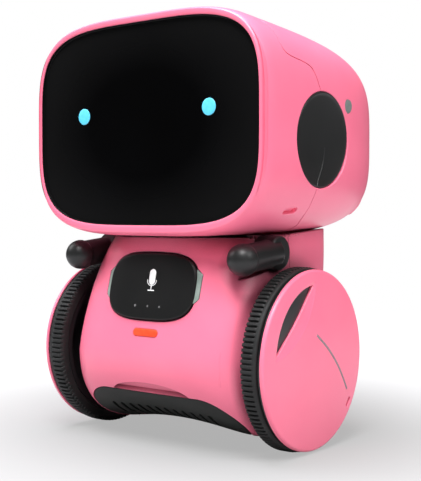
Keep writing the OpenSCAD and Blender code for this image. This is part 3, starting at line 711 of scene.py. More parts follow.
BODY_HALF_W, BARREL_R = 33.3, 27.3
SPLIT_Y = 2.0
BUTTON_Z, BUTTON_W, BUTTON_H, BUTTON_N = 48.6, 16.9, 10.0, 3.2
LAMP_Z, LAMP_L, LAMP_R = 34.8, 4.8, 1.1
GRILLE_TURN = math.radians(43)
GRILLE_L, GRILLE_H, GRILLE_DROP = 29.4, 12.0, 3.5
GRILLE_SLOTS, GRILLE_PITCH, SLOT_DROP, SLOT_L = 12, 3.5, 2.2, 4.0
SHOULDER = np.array([32.7, -5.8, 58.9])
POCKET_X, HUB_R = 28.0, 5.2
DOOR_MID, DOOR_HALF_W, DOOR_HALF_H = 28.0, 24.0, 14.0
SWITCH_Z = 50.0


def rise(z):
    return (z - AXLE_Z) / (NECK_TOP - AXLE_Z)


def neck_mid(t):
    return 9.8 * t**1.5


def waist(x, t):
    return 1 - 0.07 * (1 - t) * (x / BODY_HALF_W) ** 2


def body_ring(t, angle, inset=0.0):
    """Section of the upper body at height part t, and its points pulled in by inset."""
    front = np.sin(angle) < 0
    w = BODY_HALF_W - 0.5 * t - inset
    b = np.where(front, BARREL_R + 3.3 * t**3, BARREL_R - 3.1 * t) - inset
    n = np.where(front, 8 - 5.6 * max(t, 0.0) ** 0.85, 8 - 4.65 * t)
    r = (np.abs(np.cos(angle) / w) ** n + np.abs(np.sin(angle) / b) ** n) ** (-1 / n)
    x = r * np.cos(angle)
    return np.stack([x, neck_mid(t) + r * np.sin(angle) * waist(x, t),
                     np.full(len(x), AXLE_Z + t * (NECK_TOP - AXLE_Z))], 1)


def fallen(p, down):
    """The barrel's widest ring carried down around its underside."""
    k = np.minimum(1, np.abs(p[:, 1]) / (BARREL_R * waist(p[:, 0], 0)))
    deep = 21.6 + 3.5 * np.minimum(np.abs(p[:, 0]) / 29.5, 1) ** 2
    c, s = max(math.cos(down), 0.0) ** 0.91, math.sin(down) ** 0.91
    return np.stack([p[:, 0], p[:, 1] * c, AXLE_Z - deep * k * s], 1)


def front_y(x, z):
    """Y of the body's front surface above the axle."""
    t = rise(z)
    n = 8 - 5.6 * t**0.85
    inner = np.clip(1 - (np.abs(x) / (BODY_HALF_W - 0.5 * t)) ** n, 0, 1)
    return neck_mid(t) - (BARREL_R + 3.3 * t**3) * inner ** (1 / n) * waist(x, t)


RIM_ROUND = 0.35


def rim_z(p):
    """Height of the neck's rim, which rises to the back to stay close under the head."""
    return NECK_TOP + 0.35 + 0.073 * np.maximum(0, p[:, 1] + 12) * (0.3 + 0.7 * (p[:, 0] / 32.8) ** 2)


def body_skin():
    angle = even_angles(BODY_HALF_W, BARREL_R, 5.0, 360)
    rings = []
    full = body_ring(1.0, angle)
    high = np.stack([full[:, 0], full[:, 1], rim_z(full)], 1)
    middle = np.array([0, neck_mid(1.0), NECK_TOP])
    rings += [middle + (full - middle) * part for part in (0.4, 0.65, 0.85)]
    inner = body_ring(1.0, angle, 2.2)
    crest = body_ring(1.0, angle, RIM_ROUND)
    crest[:, 2] = high[:, 2]
    rings += [inner, (inner + crest) / 2]
    for a in np.radians([90, 67.5, 45, 22.5, 0]):
        ring = body_ring(1.0, angle, RIM_ROUND * (1 - math.cos(a)))
        ring[:, 2] = high[:, 2] - RIM_ROUND * (1 - math.sin(a))
        rings.append(ring)
    for part in (0.8, 0.6, 0.4, 0.2):
        rings.append(full + (high - full) * part)
    rings += [body_ring(t, angle) for t in np.linspace(1.0, 0.0, 60)]
    base = body_ring(0.0, angle)
    rings += [fallen(base, d) for d in np.linspace(0, np.pi / 2, 56)[1:]]
    return Skin(rings, start="cap")


ARM_L, ARM_DROOP, ARM_DOWN, ROD_R, TIP_R = 15.4, math.radians(6), math.radians(8), 4.2, 4.7


def pocket_field(p):
    """Outline of the arms' recess, seen from the side: round at the shoulder and open ahead of it."""
    y, z = p[:, 1] - SHOULDER[1], p[:, 2] - SHOULDER[2]
    hub = np.hypot(y, z) - (HUB_R + 0.35)
    low = ARM_DROOP + ARM_DOWN
    along, up = y * math.cos(low) + z * math.sin(low), -y * math.sin(low) + z * math.cos(low)
    swept = np.maximum(np.maximum(along, -(ROD_R + 0.4) - up), z - (HUB_R + 0.35))
    return np.minimum(np.minimum(hub, swept), np.maximum(np.maximum(y, z - (HUB_R + 0.35)), -z))


def grille_place(p):
    """Offsets across and down the grille, seen along its axis."""
    y, z = p[:, 1], p[:, 2] - AXLE_Z
    return p[:, 0], -y * math.sin(GRILLE_TURN) + z * math.cos(GRILLE_TURN)


def low_front(p):
    return (p[:, 1] < -4) & (p[:, 2] < AXLE_Z)


def front_side(p):
    return (p[:, 1] < -10) & (p[:, 2] > 26)


def back_side(p):
    return p[:, 1] > 8


def grille_field(p):
    x, v = grille_place(p)
    return bar(x, v + GRILLE_DROP, GRILLE_L, GRILLE_H)


GRILLE_TOP = GRILLE_H - GRILLE_DROP


def scoop_sink(p, d):
    """A thumb recess above the grille: a wall at its arched edge, an even floor, and a rise at the grille."""
    x, v = grille_place(p)
    inside = np.clip(-d, 0, 5)
    deep = 1.4 * np.clip(inside / 0.25, 0, 1) * np.clip(0.15 + (v - GRILLE_TOP) / 0.9, 0.15, 1)
    return np.where((v > GRILLE_TOP - 0.4) & low_front(p), deep, 0.0)


def scoop_field(p):
    x, v = grille_place(p)
    return np.where(low_front(p), ring(x, v - (GRILLE_TOP - 0.8), 15.4, 4.4, 2.0), 9.0)


TAB_OUT = 18.3


def tab_field(p):
    """The two light tabs beside the button: taller at the button, shorter outside."""
    x, z = np.abs(p[:, 0]), p[:, 2] - (BUTTON_Z + 0.4)
    taper = np.clip((x - 14.8) / 3.5, 0, 1)
    return np.maximum(np.abs(z) - (5.4 - 1.9 * taper**2), np.maximum(x - TAB_OUT - 0.07, 13.6 - x))


def button_field(p):
    return ring(p[:, 0], p[:, 2] - BUTTON_Z, BUTTON_W, BUTTON_H, BUTTON_N)


def hole_field(p):
    """Everything of the front that belongs to the button and its light tabs."""
    return np.minimum(button_field(p) - 0.28, tab_field(p) - 0.06)


pocket = Edge(lambda p: np.maximum(pocket_field(p), POCKET_X + 0.05 - np.abs(p[:, 0])), rounding=0.25,
              where=lambda p: p[:, 2] > 44,
              plane=(0, lambda p: np.sign(p[:, 0]) * POCKET_X))
door_field = lambda p: panel(p[:, 0], p[:, 2] - DOOR_MID, DOOR_HALF_W, DOOR_HALF_H, 2.0)

body_features = [
    pocket,
    Edge(hole_field, depth=3.4, rounding=0.22, where=front_side),
    Edge(lambda p: bar(p[:, 0], p[:, 2] - LAMP_Z, LAMP_L + 0.06, LAMP_R + 0.06), depth=1.0, rounding=0.12,
         where=front_side),
    Edge(grille_field, depth=2.0, rounding=0.2, where=low_front, through=True),
    Edge(lambda p: bar(p[:, 0], p[:, 2] - SWITCH_Z, 3.6, 1.65), depth=1.6, rounding=0.2, where=back_side),
    Edge(lambda p: np.hypot(np.abs(p[:, 0]) - 22, p[:, 2] - 56) - 2.3, rounding=0.25, where=back_side,
         plane=(1, lambda p: np.full(len(p), 27.4))),
    groove(lambda p: np.abs(p[:, 0]) - 27.3, 0.3, 0.05, where=lambda p: (p[:, 1] < -5) & (p[:, 2] > 21)
           & (p[:, 2] < 31)),
]
body = body_skin()
scoop = Edge(scoop_field, slope=scoop_sink)
scoop.levels = lambda: [0.15, 0.0, -0.1, -0.2, -0.3, -0.8]
scoop_rise = Edge(lambda p: np.where(low_front(p), grille_place(p)[1] - GRILLE_TOP, 9.0),
                  slope=lambda p, d: np.zeros(len(p)))
scoop_rise.levels = lambda: [0.25, 0.5, 0.77]
body.shape([scoop, scoop_rise] + body_features)
body.shape([seam_edge(lambda p: p[:, 1] - SPLIT_Y, 0.08, 0.08)])
body_front = body.copy().keep(lambda p: p[:, 1] - SPLIT_Y, -0.04)
body_rear = body.keep(lambda p: SPLIT_Y - p[:, 1], -0.04)
to_object("body_front", body_front.bm, "body", "pink_shell", "body_front_shell", thick=0.5, mat=BODY_PINK)

DOOR_GAP = 0.2
body_rear.shape([seam_edge(lambda p: np.where(back_side(p), door_field(p), 9.0), DOOR_GAP)])
door = body_rear.copy().keep(lambda p: np.where(back_side(p), door_field(p), 9.0), -DOOR_GAP / 2)
body_rear.keep(lambda p: np.where(back_side(p), -door_field(p), -9.0), -DOOR_GAP / 2)
to_object("body_rear", body_rear.bm, "body", "pink_shell", "body_rear_shell", thick=0.5, mat=BODY_PINK)


def grip_field(p):
    """Ribs for a thumb low on the battery door."""
    z = p[:, 2] - 19.0
    near = z - np.round(z / 1.6) * 1.6
    rows = np.maximum(np.abs(near) - 0.35, np.abs(z) - 3.6)
    return np.maximum(rows, np.abs(p[:, 0]) - 6.0)


door.shape([
    Edge(lambda p: np.hypot(p[:, 0], p[:, 2] - 40) - 2.0, rounding=0.2, plane=(1, lambda p: np.full(len(p), 25.7))),
    Edge(grip_field, depth=0.35, rounding=0.08),
])
to_object("battery_cover", door.bm, "body", "pink_shell", "battery_door", thick=1.4, mat=BODY_PINK)
screws("door_screw_head", [(0.0, 26.1, 40.0)], 1.85, "body", "battery_door_screw")
screws("body_screw_heads", [(s * 22, 28.6, 56.0) for s in (-1, 1)], 2.1, "body", "body_screws")


def grille():
    """The dark speaker panel: part of the barrel's own surface, slotted and rounded at its edge."""
    skin = body_skin()
    keep = lambda p: np.where(low_front(p), grille_field(p), 9.0)
    skin.cut(keep, [-0.12])
    skin.keep(keep, -0.12)

    def slots(p):
        x, v = grille_place(p)
        place = (x / GRILLE_PITCH) + (GRILLE_SLOTS - 1) / 2
        nearest = np.clip(np.round(place), 0, GRILLE_SLOTS - 1)
        return bar(v + SLOT_DROP, (place - nearest) * GRILLE_PITCH, SLOT_L, 0.75)

    def border(p, d):
        off = np.clip(-d - 0.12, 0, 0.5)
        return 0.12 + 0.45 * (1 - np.sqrt(1 - (1 - off / 0.5) ** 2))
    rim = Edge(keep, slope=border)
    rim.levels = lambda: [-0.18, -0.3, -0.62, -0.9]
    skin.shape([Edge(slots, rounding=0.1, through=True), rim])
    return skin.bm


to_object("speaker_panel", grille(), "body", "grille_grey", "speaker_grille", thick=1.7)


def lamp():
    """The orange lamp bar, flush with the body's curve and faintly crowned."""
    angle = np.linspace(0, 2 * np.pi, 96, endpoint=False)
    rings = []
    for scale, lift in ((1.0, -0.9), (1.0, 0.02), (0.96, 0.12), (0.88, 0.17), (0.7, 0.2), (0.45, 0.22), (0.2, 0.22)):
        r = LAMP_R * scale
        half = LAMP_L - LAMP_R
        x = np.clip(np.cos(angle) * 40, -1, 1) * half * min(1, scale * 1.4) + r * np.cos(angle)
        z = LAMP_Z + r * np.sin(angle)
        rings.append(np.stack([x, front_y(x, z) - lift, z], 1))
    return Skin(rings, start="cap", end="cap").bm


to_object("lamp_bar", lamp(), "body", "lamp_orange", "lamp_window")


def tabs():
    """Two frosted light tabs that show beside the talk button."""
    both = bmesh.new()
    for s in (-1, 1):
        rings = []
        z = np.linspace(-1, 1, 25)
        for x, lift in ((13.8, -2.2), (13.8, 0.0), (15.6, 0.12), (16.8, 0.15), (TAB_OUT - 0.6, 0.12),
                        (TAB_OUT - 0.1, 0.03), (TAB_OUT, -0.2), (TAB_OUT, -2.2)):
            taper = min(max((x - 14.8) / 3.5, 0), 1)
            zz = BUTTON_Z + 0.4 + z * (5.35 - 1.9 * taper**2)
            edge = 0.12 * np.clip((np.abs(z) - 0.9) / 0.1, 0, 1) ** 2
            rings.append(np.stack([np.full(len(z), s * x), front_y(x, zz) - lift + edge, zz], 1))
        add(both, Skin(rings, ring_closed=False).bm)
    return both


tabs_bm = tabs()
bmesh.ops.holes_fill(tabs_bm, edges=tabs_bm.edges, sides=0)
bmesh.ops.recalc_face_normals(tabs_bm, faces=tabs_bm.faces)
to_object("light_tabs", tabs_bm, "body", "guide_clear", "button_light_guide")


# ---- Talk button ----

BUTTON_PROUD, BUTTON_ROUND = 0.75, 0.7


def button_y(x, z):
    """Front of the talk button, which follows the body and falls away in a rounded edge."""
    d = -ring(x, z - BUTTON_Z, BUTTON_W, BUTTON_H, BUTTON_N)
    edge = np.clip(1 - d / BUTTON_ROUND, 0, 1)
    return front_y(x, z) - BUTTON_PROUD + BUTTON_ROUND * (1 - np.sqrt(1 - edge**2))


def button():
    angle = even_angles(BUTTON_W, BUTTON_H, BUTTON_N, 220)
    rings = []
    insets = [BUTTON_ROUND * (1 - math.cos(math.radians(a))) for a in (0, 15, 30, 45, 60, 75, 90)] + [1.0, 1.3]
    x, z = squircle(angle, BUTTON_W, BUTTON_H, BUTTON_N)
    rings.append(np.stack([x, front_y(x, z + BUTTON_Z) + 1.3, z + BUTTON_Z], 1))
    for inset in insets:
        x, z = squircle(angle, BUTTON_W - inset, BUTTON_H - inset, BUTTON_N)
        turn = max(0.0, 1 - inset / BUTTON_ROUND)
        lift = BUTTON_PROUD - BUTTON_ROUND * (1 - math.sqrt(1 - turn**2))
        rings.append(np.stack([x, front_y(x, z + BUTTON_Z) - lift, z + BUTTON_Z], 1))
    for part in np.linspace(0.06, 0.97, 18):
        x, z = squircle(angle, (BUTTON_W - 1.3) * (1 - part), (BUTTON_H - 1.3) * (1 - part), BUTTON_N)
        rings.append(np.stack([x, front_y(x, z + BUTTON_Z) - BUTTON_PROUD, z + BUTTON_Z], 1))
    return Skin(rings, start="cap", end="cap").bm


to_object("talk_cap", button(), "button", "button_black", "talk_button")


def decal(outline, name, body_name, slot, mat, surface, count=1):
    """A thin printed mark: a filled outline laid on a surface."""
    bm = bmesh.new()
    for loop in outline:
        strip = np.array(loop, float)
        half = len(strip) // 2
        a, b = strip[:half], strip[half:][::-1]
        rows = []
        for side_a, side_b in zip(a, b):
            rows.append([bm.verts.new((q[0], 0.0, q[1])) for q in np.linspace(side_a, side_b, 4)])
        for r0, r1 in zip(rows[:-1], rows[1:]):
            for k in range(3):
                bm.faces.new((r0[k], r0[k + 1], r1[k + 1], r1[k]))
    bmesh.ops.remove_doubles(bm, verts=bm.verts, dist=0.001)
    bmesh.ops.dissolve_degenerate(bm, edges=bm.edges, dist=0.001)
    for v in bm.verts:
        v.co.y = float(surface(np.array([v.co.x]), np.array([v.co.z]))[0]) - 0.035
    bmesh.ops.recalc_face_normals(bm, faces=bm.faces)
    if sum(f.normal.y for f in bm.faces) > 0:
        bmesh.ops.reverse_faces(bm, faces=bm.faces)
    return to_object(name, bm, body_name, slot, mat=mat, thick=0.03, weighted=False)


def stroke(points, width):
    """Outline of a line of even width along points: out along one side and back along the other."""
    p = np.array(points, float)
    along = np.gradient(p, axis=0)
    along /= np.linalg.norm(along, axis=1)[:, None]
    off = np.stack([-along[:, 1], along[:, 0]], 1) * width / 2
    return np.vstack([p + off, (p - off)[::-1]])


def capsule(cx, cz, half_l, r, count=14):
    """Outline of an upright bar with round ends, as two sides that run from bottom to top."""
    a = np.linspace(-np.pi / 2, 0, count)
    b = np.linspace(0, np.pi / 2, count)
    right = [(cx + r * math.cos(t), cz - half_l + r + r * math.sin(t)) for t in a]
    right += [(cx + r * math.cos(t), cz + half_l - r + r * math.sin(t)) for t in b]
    left = [(2 * cx - x, z) for x, z in right]
    return np.vstack([right, left[::-1]])


MIC_X, MIC_Z = 0.6, 51.4
bow = [(MIC_X + 1.75 * math.sin(t), MIC_Z - 1.1 - 1.5 * math.cos(t)) for t in np.linspace(-1.75, 1.75, 25)]
mic = [capsule(MIC_X, MIC_Z, 2.35, 1.22), stroke(bow, 0.2), stroke([(MIC_X, MIC_Z - 2.6), (MIC_X, MIC_Z - 3.9)], 0.3),
       stroke([(MIC_X - 1.25, MIC_Z - 4.0), (MIC_X + 1.25, MIC_Z - 4.0)], 0.34)]
decal(mic, "microphone_mark", "button", "button_black", MARK_WHITE, button_y)
decal([capsule(x, 42.7, r, r) for x, r in ((-4.8, 0.42), (0.2, 0.34), (4.8, 0.34))], "pin_marks", "button",
      "button_black", DOT_DIM, button_y)


# ---- Power knob on the back of the neck ----

def knob():
    lo, hi = box_mm("power_knob")
    lo, hi = lo - [0, AXLE_Y, 0], hi - [0, AXLE_Y, 0]
    middle_x = (lo[0] + hi[0]) / 2
    angle = even_angles(1.7, 1.3, 6.0, 96)
    rings = []
    for inset, y in ((0.0, hi[1] - 3.4), (0.0, hi[1] - 0.3), (0.08, hi[1] - 0.12), (0.25, hi[1] - 0.02), (0.6, hi[1] - 0.02),
                     (1.0, hi[1] - 0.02)):
        x, z = squircle(angle, 1.7 - inset, 1.3 - inset, 6.0)
        rings.append(np.stack([x + middle_x, np.full(len(x), y), z + SWITCH_Z], 1))
    skin = Skin(rings, start="cap", end="cap")
    near = lambda p: (p[:, 0] - middle_x) - np.round((p[:, 0] - middle_x) / 0.8) * 0.8
    skin.shape([Edge(lambda p: np.maximum(np.maximum(np.abs(near(p)) - 0.16, np.abs(p[:, 0] - middle_x) - 1.2),
                                          np.abs(p[:, 2] - SWITCH_Z) - 1.0),
                     depth=0.25, rounding=0.05, where=lambda p: p[:, 1] > hi[1] - 0.1)])
    return skin.bm


to_object("power_slider", knob(), "power_knob", "button_black", "power_knob")


# ---- Wheels ----

COVER_R, COVER_BACK, COVER_RIM, COVER_DOME, COVER_ROUND = 26.7, TYRE_OUT + 0.85, 43.2, 0.9, 0.8
CRESCENT_MID, CRESCENT_HALF, CRESCENT_TURN = np.array([-10.6, 12.6]), 13.6, math.radians(45)
OUTER_SAG, INNER_SAG = 4.9, 0.8
RIDGE_SAG = 5.2


def crescent_place(p):
    """Offsets along the crescent and outwards from its chord, seen from the robot's side."""
    y, z = p[:, 1] - CRESCENT_MID[0], p[:, 2] - AXLE_Z - CRESCENT_MID[1]
    co, si = math.cos(CRESCENT_TURN), math.sin(CRESCENT_TURN)
    return y * co + z * si, -y * si + z * co


def sag_radius(half, sag):
    return (half**2 + sag**2) / (2 * sag)


def crescent_field(p):
    along, out = crescent_place(p)
    big, flat = sag_radius(CRESCENT_HALF, OUTER_SAG), sag_radius(CRESCENT_HALF, INNER_SAG)
    outer = np.hypot(along, out - (OUTER_SAG - big)) - big
    inner = np.hypot(along, out - (flat - INNER_SAG)) - flat
    return np.maximum(np.maximum(outer, inner), np.abs(along) - (CRESCENT_HALF - 0.4))


def hollow_field(p):
    """The soft hollow around the crescent, bounded by a flatter arc on the side of the hub."""
    along, out = crescent_place(p)
    half = CRESCENT_HALF + 2.2
    big, flat = sag_radius(half, OUTER_SAG + 1.0), sag_radius(half, RIDGE_SAG)
    outer = np.hypot(along, out - (OUTER_SAG + 0.8 - big)) - big
    inner = np.hypot(along, out - (flat - RIDGE_SAG)) - flat
    return np.maximum(outer, inner)


def hollow_sink(p, d):
    """A fine raised bead along the hollow's edge, then a slope in to the crescent."""
    inside = np.clip(-d, 0, 9)
    bead = 0.18 * np.clip(1 - (np.abs(d) / 0.45) ** 2, 0, 1)
    return np.minimum(0.17 * inside, 0.5) - bead


def cover_skin():
    dome = (COVER_R**2 + COVER_DOME**2) / (2 * COVER_DOME)

    def face(r):
        return COVER_RIM - (dome - math.sqrt(dome**2 - r * r)) + COVER_DOME - 0.02
    flat_r = COVER_R - COVER_ROUND
    profile = [(COVER_BACK, COVER_R - 6), (COVER_BACK, COVER_R - 0.15), (COVER_BACK + 0.15, COVER_R)]
    top = face(flat_r)
    profile += [(top - COVER_ROUND + COVER_ROUND * math.sin(t), flat_r + COVER_ROUND * math.cos(t))
                for t in np.radians(np.linspace(0, 88, 9))]
    profile += [(face(r), r) for r in np.linspace(flat_r - 0.3, 0.0, 41)]
    return lathe(profile, count=200, centre=(0, 0, AXLE_Z))


def notch_field(p):
    """A small prying notch near the cover's rim."""
    y, z = p[:, 1] - 18.8, p[:, 2] - AXLE_Z + 14.9
    t = math.atan2(-14.9, 18.8)
    return bar(-y * math.sin(t) + z * math.cos(t), y * math.cos(t) + z * math.sin(t), 1.8, 0.55)


def outer_face(p):
    return p[:, 0] > COVER_RIM - 0.5


def cover(side):
    skin = cover_skin()
    hollow = Edge(hollow_field, slope=hollow_sink, where=outer_face)
    hollow.levels = lambda: [0.45, 0.22, 0.0, -0.22, -0.45, -1.2, -2.4]
    skin.shape([hollow])
    skin.shape([Edge(crescent_field, depth=1.35, rounding=0.22, where=outer_face),
                Edge(notch_field, depth=1.6, rounding=0.1, where=outer_face, through=True)])
    return to_object(f"wheel_disc_{side[0]}", skin.bm, f"wheel_{side[0]}", "pink_cover", f"wheel_cover_{side[0]}",
                     mirror=side[1] < 0)


def crescent_plate(side):
    """The black plate seen through the crescent window."""
    count, rows = 60, 9
    big, flat = sag_radius(CRESCENT_HALF, OUTER_SAG), sag_radius(CRESCENT_HALF, INNER_SAG)
    co, si = math.cos(CRESCENT_TURN), math.sin(CRESCENT_TURN)
    grid = []
    for along in np.linspace(-CRESCENT_HALF, CRESCENT_HALF, count) * 0.995:
        top = (OUTER_SAG - big) + math.sqrt(big**2 - along**2)
        low = (flat - INNER_SAG) - math.sqrt(flat**2 - along**2)
        line = []
        for k in np.linspace(0, 1, rows):
            out = low + (top - low) * k
            y, z = CRESCENT_MID[0] + along * co - out * si, CRESCENT_MID[1] + along * si + out * co
            r2 = y * y + z * z
            dome = (COVER_R**2 + COVER_DOME**2) / (2 * COVER_DOME)
            x = COVER_RIM + COVER_DOME - (dome - math.sqrt(dome**2 - r2)) - 0.85 - 0.3 * (1 - k)
            line.append((x, y, z + AXLE_Z))
        grid.append(line)
    skin = Skin(grid, ring_closed=False)
    if sum(f.normal.x for f in skin.bm.faces) < 0:
        bmesh.ops.reverse_faces(skin.bm, faces=skin.bm.faces)
    return to_object(f"crescent_plate_{side[0]}", skin.bm, f"wheel_{side[0]}", "hub_black", thick=0.3,
                     mirror=side[1] < 0)


def cover_line(side):
    """The fine printed line across the cover's rear half."""
    dome = (COVER_R**2 + COVER_DOME**2) / (2 * COVER_DOME)
    path = smooth_path([(-0.2, 7.5), (6.4, 2.6), (12.6, -3.6), (17.8, -10.7)], 40)
    edges = stroke(path, 0.7)
    half = len(edges) // 2
    rows = []
    for a, b in zip(edges[:half], edges[half:][::-1]):
        rows.append([(COVER_RIM + COVER_DOME - (dome - math.sqrt(dome**2 - y * y - z * z)) + 0.005, y, z + AXLE_Z)
                     for y, z in (a, (a + b) / 2, b)])
    skin = Skin(rows, ring_closed=False)
    if sum(f.normal.x for f in skin.bm.faces) < 0:
        bmesh.ops.reverse_faces(skin.bm, faces=skin.bm.faces)
    return to_object(f"cover_line_{side[0]}", skin.bm, f"wheel_{side[0]}", "pink_cover", mat=MARK_GREY, thick=0.02,
                     mirror=side[1] < 0, weighted=False)


RIBS, RIB_DEEP, RIM_R = 112, 0.7, 23.4


def tyre(side):
    """A ribbed tread over the inner part of the tyre and a smooth shoulder outside."""
    wave = (0.0, 0.13, 0.19, 0.28, 0.41, 0.59, 0.72, 0.81, 0.87)
    height = (0.0, 0.0, 0.75, 1.0, 1.0, 1.0, 1.0, 0.75, 0.0)
    turn, up = [], []
    for k in range(RIBS):
        for w, h in zip(wave, height):
            turn.append((k + w) / RIBS * 2 * math.pi)
            up.append(h)
    turn, up = np.array(turn), np.array(up)
    x0, x1 = TYRE_IN, TYRE_OUT
    shoulder = x1 - 1.7
    edge = TYRE_R - 0.25
    rows = [(x0 + 0.9, RIM_R, 0), (x0, RIM_R + 0.3, 0), (x0, TYRE_R - 1.9, 0), (x0 + 0.05, TYRE_R - 1.2, 0.1),
            (x0 + 0.25, TYRE_R - 0.35, 1.0), (x0 + 0.5, TYRE_R - 0.08, 1.0), (x0 + 0.8, TYRE_R, 1.0),
            (x0 + 2.0, TYRE_R, 1.0), (shoulder - 0.9, TYRE_R, 1.0), (shoulder - 0.45, TYRE_R, 1.0),
            (shoulder - 0.15, TYRE_R - 0.08, 0.9), (shoulder + 0.1, TYRE_R - 0.22, 0.35), (shoulder + 0.3, edge, 0.0),
            (x1 - 0.95, edge, 0), (x1 - 0.6, edge - 0.06, 0), (x1 - 0.35, edge - 0.25, 0), (x1 - 0.25, edge - 0.6, 0),
            (x1 - 0.25, edge - 1.4, 0), (x1, edge - 1.6, 0), (x1, RIM_R + 0.4, 0), (x1 - 0.5, RIM_R, 0)]
    rings = []
    for x, r, ribbed in rows:
        deep = RIB_DEEP * ribbed * (1 - up)
        rad = r - deep
        rings.append(np.stack([np.full(len(turn), x), rad * np.cos(turn), rad * np.sin(turn) + AXLE_Z], 1))
    rings.append(rings[0])
    skin = Skin(rings)
    return to_object(f"tyre_tread_{side[0]}", skin.bm, f"wheel_{side[0]}", "tyre_rubber", f"tyre_{side[0]}",
                     mirror=side[1] < 0, sharp=0.7, weighted=False)


def gap_shade_band(side):
    """The black band that shows between a tyre and its cover: the hub's own black, placed there as painted shade for
    the shadowed gap.
    """
    skin = lathe([(TYRE_OUT - 0.1, COVER_R - 4), (TYRE_OUT - 0.1, COVER_R - 0.7), (TYRE_OUT + 0.05, COVER_R - 0.5),
                  (COVER_BACK + 0.1, COVER_R - 0.5), (COVER_BACK + 0.1, COVER_R - 4)], count=160,
                 centre=(0, 0, AXLE_Z))
    return to_object(f"cover_gap_shade_{side[0]}", skin.bm, f"wheel_{side[0]}", "hub_black", thick=0.2, mirror=side[1] < 0)


for side in SIDES:
    cover(side)
    gap_shade_band(side)
    crescent_plate(side)
    cover_line(side)
    tyre(side)


# ---- Arms ----

HUB_IN, HUB_OUT = 28.2, 35.2
ROD_SHIFT = -0.25        # how far the rod's line lies inside the shoulder's middle


def arm(side):
    """A thick rod with a rounded cap, fused to an upright shoulder disc."""
    tip = [(-TIP_R, 0.0)] + [(-TIP_R * math.cos(t), TIP_R * math.sin(t)) for t in np.radians(np.arange(8, 91, 8))]
    tip += [(0.2, TIP_R), (0.9, TIP_R - 0.05), (1.25, TIP_R - 0.25), (1.35, ROD_R + 0.02), (2.0, ROD_R)]
    rod = [(y - ARM_L, r) for y, r in tip] + [(-6.0, ROD_R), (0.0, ROD_R), (0.0, 0.0)]
    hub = [(HUB_IN, 0.0), (HUB_IN, HUB_R - 0.4), (HUB_IN + 0.12, HUB_R - 0.1), (HUB_IN + 0.4, HUB_R),
           (HUB_OUT - 1.1, HUB_R)]
    hub += [(HUB_OUT - 1.1 + 1.1 * math.sin(t), HUB_R - 1.1 + 1.1 * math.cos(t)) for t in np.radians(np.arange(15, 91, 15))]
    hub += [(HUB_OUT, 1.2), (HUB_OUT, 0.0)]
    rod_skin = lathe(rod, count=72, axis="y")
    co, si = math.cos(ARM_DROOP), math.sin(ARM_DROOP)
    for v in rod_skin.bm.verts:
        y, z = v.co.y * co - v.co.z * si, v.co.y * si + v.co.z * co
        v.co = Vector((v.co.x + SHOULDER[0] + ROD_SHIFT, y + SHOULDER[1], z + SHOULDER[2]))
    hub_skin = lathe(hub, count=96, centre=(0, SHOULDER[1], SHOULDER[2]))
    rod_obj = to_object(f"arm_{side[0]}_form", rod_skin.bm, f"arm_{side[0]}", "soft_black", f"arm_{side[0]}",
                        mirror=side[1] < 0, weighted=False)
    hub_obj = to_object(f"arm_{side[0]}_hub", hub_skin.bm, f"arm_{side[0]}", "soft_black", mirror=side[1] < 0,
                        weighted=False)
    join = rod_obj.modifiers.new("join", "BOOLEAN")
    join.operation, join.object, join.solver = "UNION", hub_obj, "EXACT"
    melt = rod_obj.modifiers.new("melt", "REMESH")
    melt.mode, melt.voxel_size, melt.use_smooth_shade = "VOXEL", 0.00024, True
    soft = rod_obj.modifiers.new("soften", "SMOOTH")
    soft.factor, soft.iterations = 0.5, 5
    bake(rod_obj)
    bpy.data.objects.remove(hub_obj)
    rod_obj.name = f"arm_form_{side[0]}"
    return rod_obj


def bake(obj):
    """Applies an object's modifiers to its mesh."""
    bpy.context.view_layer.update()
    result = bpy.data.meshes.new_from_object(obj.evaluated_get(bpy.context.evaluated_depsgraph_get()))
    obj.modifiers.clear()
    old = obj.data
    obj.data = result
    bpy.data.meshes.remove(old)
    for p in result.polygons:
        p.use_smooth = True


for side in SIDES:
    arm(side)


# ---- Floor, light and camera ----

